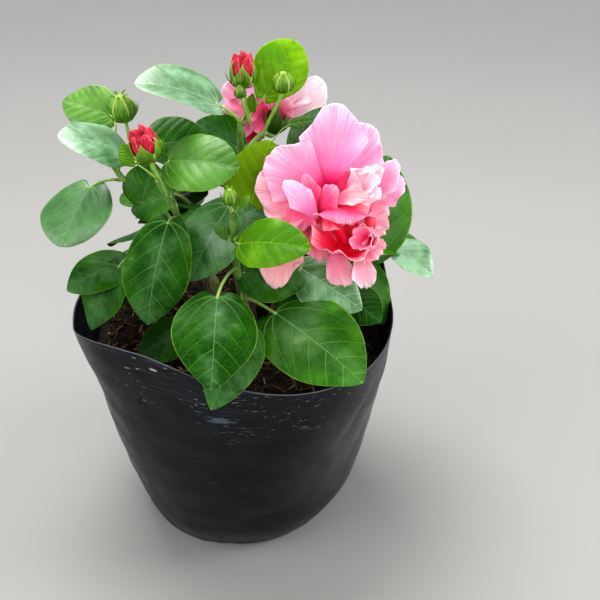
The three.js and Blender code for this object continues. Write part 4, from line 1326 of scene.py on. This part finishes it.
def makeBuds():
    # Each bud's calyx, its petals where they show, its stalk and the narrow bracts round its foot
    calyces, reds, stalks = [], [], []
    feet, tips, facing, bows = [], [], [], []
    for item in buds:
        middle, axis = fromPhoto(*item["middle"]), unit(np.array(item["axis"], float))
        radius, height = item["radius"], item["height"]
        base = middle - axis * height / 2
        calyces.append(calyxShape(middle, axis, radius, height, item["cover"], item["notch"], item["open"]))
        if item["red"]:
            reds.append(furledShape(middle, axis, radius * 0.98, height, item["red"] + 0.14))
        path = stalkPath(fromPhoto(*item["stalk"]), np.array([0, 0, 1.0]), base + axis * 1.2, axis, 16)
        thick = np.interp(np.linspace(0, 1, len(path)), (0, 0.8, 1), (1.15, 1.2, 1.9))
        stalks.append(tubeShape(path, thick * (radius / 9) ** 0.35, 9))
        k = np.arange(item["bracts"])
        outward = spokesRound(axis, turnSteps(item["bracts"]) + radius)
        rise = height * (0.62 + 0.16 * np.sin(5 * k + radius))
        feet.extend(base + outward * 1.6)
        tips.extend(base + outward * radius * 1.32 + axis * rise[:, None])
        facing.extend(unit(outward - axis))
        bows.extend([0.42] * len(k))
        # The lobes' points curl over at the top of a closed bud
        if not item["red"]:
            k = np.arange(budForm["lobes"])
            outward = spokesRound(axis, 2 * math.pi * (k + 0.5) / budForm["lobes"])
            feet.extend(middle + axis * height * 0.40 + outward * radius * 0.30)
            tips.extend(middle + axis * height * 0.47 + outward * radius * 0.85)
            facing.extend(unit(axis + 0.3 * outward))
            bows.extend([0.5] * len(k))
    newPiece("bud_calyces", calyces, [calyxMaterial()])
    newPiece("bud_petals", reds, [furledMaterial()])
    newPiece("bud_stalks", stalks, [stalkMaterial("budStalk")])
    narrow("bud_bracts", feet, tips, facing, budForm["bractWidth"], "young", np.array(bows))
    print(len(buds), "buds ready")


calyxColors = {"dark": (0.045, 0.14, 0.006), "light": (0.13, 0.28, 0.018), "point": (0.30, 0.45, 0.05),
               "seam": (0.42, 0.55, 0.14)}
# The fold colour is painted shade under each fold's overlapping edge, and the hollow colour is painted shade
# in the bud's hollow
furledColors = {"dark": (0.34, 0.004, 0.018), "light": (0.66, 0.035, 0.075), "fold": (0.22, 0.002, 0.012),
                "edge": (0.85, 0.16, 0.2), "hollow": (0.16, 0.002, 0.01)}


def calyxMaterial(name="greenCalyx", depth=1.0):
    # Green with fine streaks, paler at the points and along the seams. Depth multiplies every colour.
    material, start, surface = newMaterial(name, Roughness=0.5, Specular_IOR_Level=0.35)
    along, seam = mark(start, "along", "Fac"), mark(start, "seam", "Fac")
    streaks = objectPlace(start).scaled(700, 700, 160).noise(1, 3)
    tones = {key: shade(value, depth) for key, value in calyxColors.items()}
    color = streaks.ease(0.3, 0.7).mix(tones["dark"], tones["light"])
    color = (along.ease(0.5, 1.0) * 0.6).mix(color, tones["point"])
    color = (seam.ease(0.8, 0.97) * 0.75).mix(color, tones["seam"])
    feed(surface, Base_Color=color, Normal=bumped(start, streaks, 0.3, 0.7))
    return material


def furledMaterial():
    # Red, with darker threads, painted shade under the overlapping edge of each fold, and near-black red
    # painted shade in the hollow
    material, start, surface = newMaterial("furledRed", Roughness=0.45, Specular_IOR_Level=0.3)
    along, fold = mark(start, "along", "Fac"), mark(start, "seam", "Fac")
    threads = objectPlace(start).scaled(1000, 1000, 130).noise(1, 3)
    color = threads.ease(0.38, 0.66).mix(furledColors["dark"], furledColors["light"])
    # Painted shade: darker where each fold tucks under the next one's edge
    color = (fold.ease(0.0, 0.22, 1, 0) * 0.8).mix(color, furledColors["fold"])
    color = (fold.ease(0.86, 0.97) * along.ease(0.5, 1)).mix(color, furledColors["edge"])
    # Painted shade: near-black red down in the hollow
    color = (along.ease(1.2, 1.9) * 0.7).mix(color, furledColors["hollow"])
    feed(surface, Base_Color=color, Normal=bumped(start, threads, 0.3, 0.7))
    return material


# Blooms

def petal(base, middle, tip, width, facing, tone="pink", **shape):
    # Base, middle and tip of the petal's midline: photo pixels with their Y
    return {"base": base, "middle": middle, "tip": tip, "width": width, "facing": facing, "tone": tone,
            **shape}


frontBloom = [
    # The big outer petals: two above, two at the left, and those that hang below
    petal((330, 184, -33), (334, 142, -25), (336, 103, -20), 46, (-0.1, -1, 0.35), ruffle=0.45, cup=0.12),
    petal((334, 186, -30), (354, 156, -12), (369, 124, -8), 47, (0.15, -1, 0.35), ruffle=0.4, cup=0.06),
    petal((334, 187, -34), (348, 181, -32), (361, 175, -33), 18, (0.1, -1, 0.4), "deepPink", ruffle=0.6),
    petal((322, 190, -34), (295, 172, -29), (266, 158, -31), 50, (-0.25, -1, 0.25), ruffle=0.45, cup=0.06),
    petal((318, 196, -34), (288, 190, -25), (255, 184, -30), 46, (-0.1, -0.8, 0.5), "coral", ruffle=0.3,
          cup=0.02),
    petal((317, 200, -37), (290, 207, -31), (264, 212, -36), 36, (-0.1, -0.8, 0.5), "coral", ruffle=0.4),
    petal((318, 204, -40), (300, 210, -40), (294, 231, -42), 26, (-0.3, -1, 0.1), "deepPink", ruffle=0.4),
    petal((318, 208, -39), (310, 220, -39), (306, 240, -40), 20, (-0.3, -1, 0.1), "rose", ruffle=0.4),
    petal((320, 212, -38), (316, 238, -42), (323, 262, -44), 26, (-0.2, -1, 0.1), "rose", ruffle=0.6),
    petal((298, 216, -37), (277, 250, -34), (276, 289, -44), 36, (-0.1, -1, 0.2), "salmon", ruffle=0.15),
    # Inner petals folded over the throat
    petal((317, 215, -42), (310, 194, -47), (305, 174, -42), 16, (0.3, -0.9, 0.3), "deepPink", ruffle=0.4),
    petal((317, 219, -44), (304, 202, -55), (284, 181, -51), 19, (-0.2, -0.9, 0.5), "lilac", ruffle=0.5,
          cup=-0.1),
    petal((318, 211, -42), (326, 197, -53), (338, 188, -56), 20, (-0.2, -0.8, 0.6), "deepPink", ruffle=0.4,
          cup=-0.2),
    petal((332, 203, -44), (349, 192, -56), (370, 198, -54), 16, (0.05, -0.6, 0.8), "salmon", ruffle=0.9),
    petal((326, 206, -42), (348, 208, -48), (370, 208, -44), 24, (0, -0.9, 0.4), "rose", ruffle=0.5),
    petal((322, 206, -41), (334, 216, -46), (344, 226, -46), 24, (-0.1, -0.9, 0.4), "rose", ruffle=0.5),
    # Two behind that close the bloom's back, then the ruffled group at the right
    petal((334, 196, -32), (362, 192, -26), (386, 190, -24), 34, (0.3, -1, 0.3), ruffle=0.5),
    petal((336, 204, -34), (362, 218, -31), (378, 232, -29), 32, (0.3, -1, 0), "coral", ruffle=0.5),
    petal((344, 192, -36), (362, 182, -46), (372, 168, -44), 22, (0, -0.7, 0.7), "blush", ruffle=0.8),
    petal((348, 194, -36), (364, 186, -50), (379, 176, -48), 20, (0, -0.7, 0.7), "pale", ruffle=0.9),
    petal((350, 196, -38), (366, 192, -50), (382, 194, -48), 18, (0.1, -0.7, 0.7), "blush", ruffle=0.9),
    petal((356, 190, -34), (374, 174, -42), (383, 167, -39), 16, (0, -0.8, 0.6), "blush", ruffle=0.9),
    petal((360, 196, -36), (382, 182, -38), (396, 160, -34), 22, (0.2, -1, 0.3), ruffle=0.7, cup=0.3),
    petal((362, 198, -36), (386, 188, -36), (405, 181, -32), 26, (0.3, -1, 0.2), ruffle=0.6, cup=0.2),
    petal((358, 202, -38), (378, 200, -40), (392, 201, -36), 24, (0.3, -1, 0.2), "coral", ruffle=0.7),
    petal((352, 206, -40), (372, 213, -42), (386, 220, -36), 32, (0.3, -1, 0.1), "coral", ruffle=0.7),
    petal((358, 218, -42), (374, 227, -43), (383, 236, -38), 24, (0.3, -1, 0.1), "coral", ruffle=0.8),
    # The second whorl below: a hood and ruffled lips round a red heart, and the two that hang from it
    petal((344, 207, -44), (345, 206, -60), (345, 224, -64), 44, (0, -0.8, 0.6), "deepPink", ruffle=1.0,
          cup=-0.15),
    petal((368, 244, -46), (358, 232, -58), (374, 230, -60), 14, (-0.1, -0.9, 0.3), "rosePink", ruffle=0.5,
          cup=0.5),
    petal((360, 240, -44), (366, 240, -60), (376, 246, -60), 16, (0.2, -0.9, 0.3), "coral", ruffle=0.7,
          cup=0.3),
    petal((362, 246, -46), (374, 250, -54), (382, 254, -50), 20, (0.3, -0.9, 0.1), "coral", ruffle=1.0),
    petal((352, 250, -44), (358, 258, -54), (366, 258, -56), 18, (0, -0.9, 0.1), "salmon", ruffle=1.0),
    petal((336, 246, -46), (336, 266, -50), (349, 286, -50), 21, (-0.1, -1, 0.1), "coral", ruffle=0.7,
          cup=0.2),
    petal((358, 246, -48), (362, 270, -54), (368, 288, -50), 18, (0.1, -1, 0.1), "pale", ruffle=0.7,
          cup=0.25),
]
# Ruffled cups in the lower whorl: pixel and Y of the middle, the way it opens, radius, depth and tone
rosettes = [((347, 240, -52), (-0.1, -0.35, 1), 19.5, 15, "rose"),
            ((365, 239, -62), (-0.6, -0.7, 0.5), 7.5, 9, "rosePink")]
# Deep red bowls behind the petals: pixel and Y of the middle, radius and depth
throats = [((321, 194, -34), 7.5, 6), ((354, 205, -38), 11, 4)]

backBloom = [
    petal((268, 112, 62), (248, 106, 68), (224, 84, 72), 30, (-0.3, -1, 0.5), "rosePink", ruffle=0.8),
    petal((266, 116, 62), (244, 118, 66), (219, 114, 70), 38, (-0.4, -1, 0.3), "rosePink", ruffle=0.8,
          cup=0.1),
    petal((266, 120, 62), (250, 132, 66), (232, 140, 66), 30, (-0.3, -1, 0), "rose", ruffle=0.7),
    petal((270, 110, 62), (258, 94, 68), (248, 78, 72), 32, (-0.1, -1, 0.3), "lilac", ruffle=0.7),
    petal((276, 110, 64), (288, 92, 72), (297, 73, 76), 38, (0.1, -1, 0.3), "blush", ruffle=0.5, cup=0.1),
    petal((280, 114, 64), (304, 100, 72), (323, 80, 76), 40, (0.3, -1, 0.3), "blush", ruffle=0.5, cup=0.1),
    petal((280, 118, 64), (300, 116, 70), (318, 112, 74), 32, (0.3, -1, 0), "salmon", ruffle=0.6),
    petal((272, 108, 66), (276, 90, 86), (282, 84, 104), 40, (0, 0.7, 0.7), "pale", ruffle=0.9),
    petal((268, 110, 66), (256, 94, 84), (246, 90, 98), 36, (-0.3, 0.6, 0.7), ruffle=0.9),
    petal((278, 112, 66), (296, 104, 84), (308, 104, 98), 36, (0.4, 0.6, 0.6), ruffle=0.9),
    petal((268, 112, 60), (256, 108, 54), (246, 104, 54), 22, (-0.2, -1, 0.4), "deepPink", ruffle=1.0),
    petal((268, 118, 58), (258, 122, 52), (250, 128, 52), 24, (-0.2, -1, 0.3), "deepPink", ruffle=1.0),
    petal((276, 116, 60), (282, 108, 54), (290, 100, 56), 22, (0.2, -1, 0.3), "rosePink", ruffle=0.9),
]
petalForm = {
    "rows": 20, "thickness": 0.45, "claw": 0.16, "topRound": 0.34, "cup": 0.08, "ruffle": 0.8,
    "ruffleSize": 0.075, "frill": 0.007, "frills": 14, "seed": 17,
    # The points round and up a rosette and a throat
    "rosetteColumns": 96, "rosetteRows": 20, "throatColumns": 40, "throatRows": 10,
    # The waves round a margin: how many in a whole turn, how far that varies, their phase and their weight
    "waves": [(5.2, 1, 1, 1), (9.7, 2, 2.2, 0.55), (2.3, 1, 1.3, 0.4)],
    "tones": ["pink", "pale", "blush", "coral", "rosePink", "deepPink", "salmon", "lilac", "rose"],
}


def petalShapes(petals, random):
    # Over u and v the half width opens from a narrow claw to a broad end, and the end's corners are rounded
    # by a slide that grows with u and v. Waves run round the free margin: they lift the edge by turns up and
    # down, and draw it sideways in step, so that it curls over as a frill does.
    outer = np.sin(np.linspace(0, math.pi / 2, 12)) ** 0.9
    u = np.concatenate([-outer[:0:-1], outer])
    v = np.linspace(0, 1, petalForm["rows"]) ** 0.9
    cup, ruffle = (valuesOf(petals, key, petalForm)[:, None, None] for key in ("cup", "ruffle"))
    base, middle, tip = (np.array([fromPhoto(*item[key]) for item in petals])
                         for key in ("base", "middle", "tip"))
    width = np.array([item["width"] for item in petals], float)[:, None, None]
    facing = unit(np.array([item["facing"] for item in petals], float))
    length = np.linalg.norm(tip - base, axis=1)[:, None, None]
    u3, v3 = u[None, None], v[None, :, None]
    claw = petalForm["claw"]
    half = claw + (1 - claw) * np.sin(math.pi / 2 * np.clip(v3 / 0.86, 0, 1)) ** 1.1
    half = half * (1 - 0.22 * smooth(v3, 0.72, 1.0))
    wobble = random.uniform(-1, 1, (len(petals), 8, 1, 1))
    around = np.arctan2(u3 * 1.15, v3 - 0.12) / math.pi
    edge = np.clip(np.maximum(np.abs(u3) ** 1.6, v3**2.5) * v3**0.8, 0, 1)
    phase = 6 * wobble[:, 0]
    runs = [2 * math.pi * (count + varied * wobble[:, k]) * around + shift * phase
            for k, (count, varied, shift, weight) in enumerate(petalForm["waves"], 1)]
    waves = sum(weight * np.sin(run) for run, (*_, weight) in zip(runs, petalForm["waves"]))
    swing = np.cos(runs[0])
    strength = ruffle * petalForm["ruffleSize"] * np.sqrt(width * length)
    across = width / 2 * half * u3 + 0.45 * strength * edge**1.5 * swing * np.sign(u3 + 1e-9)
    slide = -petalForm["topRound"] * length * np.abs(u3) ** 2.2 * v3**2.2
    frill = petalForm["frill"] * ruffle * length * edge**3
    slide = slide + frill * np.sin(2 * math.pi * petalForm["frills"] * around + 4 * wobble[:, 4])
    folds = np.sin(math.pi * (3.4 + wobble[:, 5]) * u3 + 3 * wobble[:, 6]) * v3**1.2 * 0.018 * width
    hollow = cup * width * np.abs(u3) ** 2 * np.sin(math.pi / 2 * v3)
    lift = hollow + strength * edge * waves * 0.62 + folds
    spread = np.stack(np.broadcast_arrays(u3 * half, v3, wobble[:, 7]), -1)
    tones = [petalForm["tones"].index(item["tone"]) for item in petals]
    return bladeShapes(u, v, base, middle, tip, facing, across, slide, lift, 0.3 * wobble[:, 4, 0, 0],
                       petalForm["thickness"], tones, {"spread": spread})


def rosetteShape(middle, axis, radius, depth, tone):
    # A thin cup of revolution whose free edge curls out, and waves in and out and to and fro as crowded
    # petals do. Its mark spread fans out from one side, as a petal's does.
    turn = turnSteps(petalForm["rosetteColumns"])
    s = np.linspace(0.04, 1, petalForm["rosetteRows"])[:, None]
    waves = np.sin(5 * turn + radius) + 0.6 * np.sin(8 * turn + 2 * radius) + 0.4 * np.sin(13 * turn)
    swing = 0.12 * np.sin(3 * turn + radius) * s**2 + 0.07 * np.cos(8 * turn + 2 * radius) * s**3
    r = radius * (s**0.7 * (1 + swing) + 0.12 * smooth(s, 0.75, 1))
    z = depth * (s**1.8 - 0.5) + 0.14 * radius * s**4 * waves
    middle = fromPhoto(*middle)
    fan = (1 - np.abs(turn / math.pi - 1)) * 2.7 * (s**2 + 0.1)
    marks = {"blade": np.stack(np.broadcast_arrays(0 * turn, s, 0.0), -1),
             "spread": np.stack(np.broadcast_arrays(fan, s**2, 0.3), -1)}
    outer, inner = revolved(middle, axis, r, z), revolved(middle, axis, r - 0.3, z + 0.4)
    return wallShape(outer, inner, marks, petalForm["tones"].index(tone))


def throatShape(middle, radius, depth):
    # A thin bowl with a wavy rim that opens towards the camera and up
    turn = turnSteps(petalForm["throatColumns"])
    s = np.linspace(0.04, 1, petalForm["throatRows"])[:, None]
    r = radius * s**0.8 * (1 + 0.1 * s * np.sin(5 * turn + radius))
    z = depth * (s**2 - 0.5) * np.ones_like(turn)
    axis, middle = (0, -0.85, 0.55), fromPhoto(*middle)
    outer, inner = revolved(middle, axis, r, z), revolved(middle, axis, r * 0.98, z + 0.5)
    return wallShape(outer, inner, {"along": np.broadcast_to(s, r.shape)})


# The green cup behind each bloom: its middle and axis, radius, height and bracts, and where its stalk starts
bloomCups = [
    {"middle": (71, -24.5, 289), "axis": (-0.1, -0.8, 0.55), "radius": 9, "height": 15, "bracts": 8,
     "stalk": ("stem_right", 0.97)},
    {"middle": (33, 62, 312), "axis": (0.1, 0.25, 1), "radius": 10.5, "height": 27, "bracts": 8,
     "stalk": ("bough_bloom_back", 0.95)},
]
# The red heart's line, from the cup behind the front bloom out between its petals
heartLine = {"foot": (71, -29, 290), "pixels": [(332, 214, -42), (347, 243, -47)], "radii": (4, 2.5)}


def makeBlooms():
    # The petals of both blooms, the cup, stalk and bracts behind each, and the front one's red heart
    random = np.random.default_rng(petalForm["seed"])
    materials = [petalMaterial(tone) for tone in petalForm["tones"]]
    cups = [rosetteShape(*rosette) for rosette in rosettes]
    newPiece("bloom_front_petals", petalShapes(frontBloom, random) + cups, materials,
             ["bloom_front"])
    newPiece("bloom_back_petals", petalShapes(backBloom, random), materials, ["bloom_back"])
    calyces, stalks, feet, tips, facing = [], [], [], [], []
    for cup in bloomCups:
        middle, axis = np.array(cup["middle"], float), unit(np.array(cup["axis"], float))
        base = middle - axis * cup["height"] / 2
        calyces.append(calyxShape(middle, axis, cup["radius"], cup["height"], 1.0, 0.62, 0.7))
        path = stalkPath(limbPoint(*cup["stalk"]), axis, base + axis, axis, 14)
        stalks.append(tubeShape(path, np.linspace(2.0, 2.4, len(path)), 10))
        outward = spokesRound(axis, turnSteps(cup["bracts"]))
        feet.extend(base + outward * 2.2)
        tips.extend(base + outward * cup["radius"] * 1.3 + axis * cup["height"] * 0.42)
        facing.extend(unit(outward * 0.8 - axis * 0.4))
    newPiece("bloom_calyces", calyces, [calyxMaterial("bloomCalyx", 0.5)])
    newPiece("bloom_stalks", stalks, [stalkMaterial("bloomStalk")])
    narrow("bloom_bracts", feet, tips, facing, 2.6, "mid")
    line = smoothCurve([heartLine["foot"], *(fromPhoto(*pixel) for pixel in heartLine["pixels"])], 20)
    hearts = [tubeShape(line, np.linspace(*heartLine["radii"], len(line)), 12)]
    hearts += [throatShape(*throat) for throat in throats]
    newPiece("bloom_hearts", hearts, [petalMaterial("rose", "redHeart")])
    print("blooms ready")


# Each tone of petal: its throat, body and margin
petalTones = {
    "pink": ((0.76, 0.012, 0.16), (0.93, 0.34, 0.55), (0.97, 0.62, 0.78)),
    "pale": ((0.80, 0.05, 0.16), (0.94, 0.44, 0.54), (0.97, 0.72, 0.78)),
    "blush": ((0.78, 0.06, 0.20), (0.95, 0.64, 0.72), (0.97, 0.84, 0.88)),
    "coral": ((0.76, 0.012, 0.09), (0.92, 0.28, 0.38), (0.96, 0.54, 0.60)),
    "rosePink": ((0.76, 0.010, 0.10), (0.90, 0.20, 0.36), (0.96, 0.48, 0.60)),
    "deepPink": ((0.70, 0.004, 0.06), (0.88, 0.09, 0.24), (0.94, 0.34, 0.48)),
    "salmon": ((0.70, 0.03, 0.06), (0.86, 0.32, 0.35), (0.93, 0.50, 0.50)),
    "lilac": ((0.90, 0.24, 0.46), (0.93, 0.44, 0.68), (0.96, 0.68, 0.86)),
    "rose": ((0.78, 0.002, 0.03), (0.88, 0.025, 0.10), (0.96, 0.42, 0.50)),
}


def petalMaterial(tone, name=None):
    # Red at the throat, then a deeper glow, the body's pink and a paler margin. Fine darker veins fan out
    # from the claw. A piece with a name of its own has only the mark along, and keeps the throat's red.
    throat, body, margin = petalTones[tone]
    material, start, surface = newMaterial(
        name or "petal" + tone[0].upper() + tone[1:], Roughness=0.6, Subsurface_Weight=0.3,
        Subsurface_Radius=(1.0, 0.35, 0.4), Subsurface_Scale=0.002, Specular_IOR_Level=0.25)
    if name is None:
        across, along, own = parts(mark(start, "spread"))
        u = parts(mark(start, "blade"))[0].size()
    else:
        along = mark(start, "along", "Fac") * 0.28
        across, own, u = along * 0, along * 0, along * 0
    fan = start.add("ShaderNodeCombineXYZ", inputs={
        0: across / (along + 0.1) * 21, 1: along * 1.5, 2: own * 5})
    threads = fan.noise(1, 2, 0.5)
    lines = threads.ease(0.50, 0.60)
    cloud = objectPlace(start).noise(90, 3)
    reach = along + 0.12 * cloud
    color = reach.ease(0.10, 0.34).mix(throat, shade(body, (0.97, 0.6, 0.8)))
    color = reach.ease(0.30, 0.62).mix(color, body)
    edge = (u.ease(0.4, 1) * along.ease(0.3, 0.8)).most(along.ease(0.55, 1.0))
    color = (edge * (0.7 + 0.4 * cloud)).least(1).mix(color, margin)
    color = (lines * along.ease(0.1, 0.4, 0.1, 0.45)).mix(color, shade(body, (0.86, 0.55, 0.72)))
    height = threads + 0.3 * cloud
    feed(surface, Base_Color=color, Normal=bumped(start, height, 0.5, 0.45))
    return material


makeStudio()
makeBag()
makeSoil()
makeLimbs()
makeLeaves()
makeBuds()
makeBlooms()
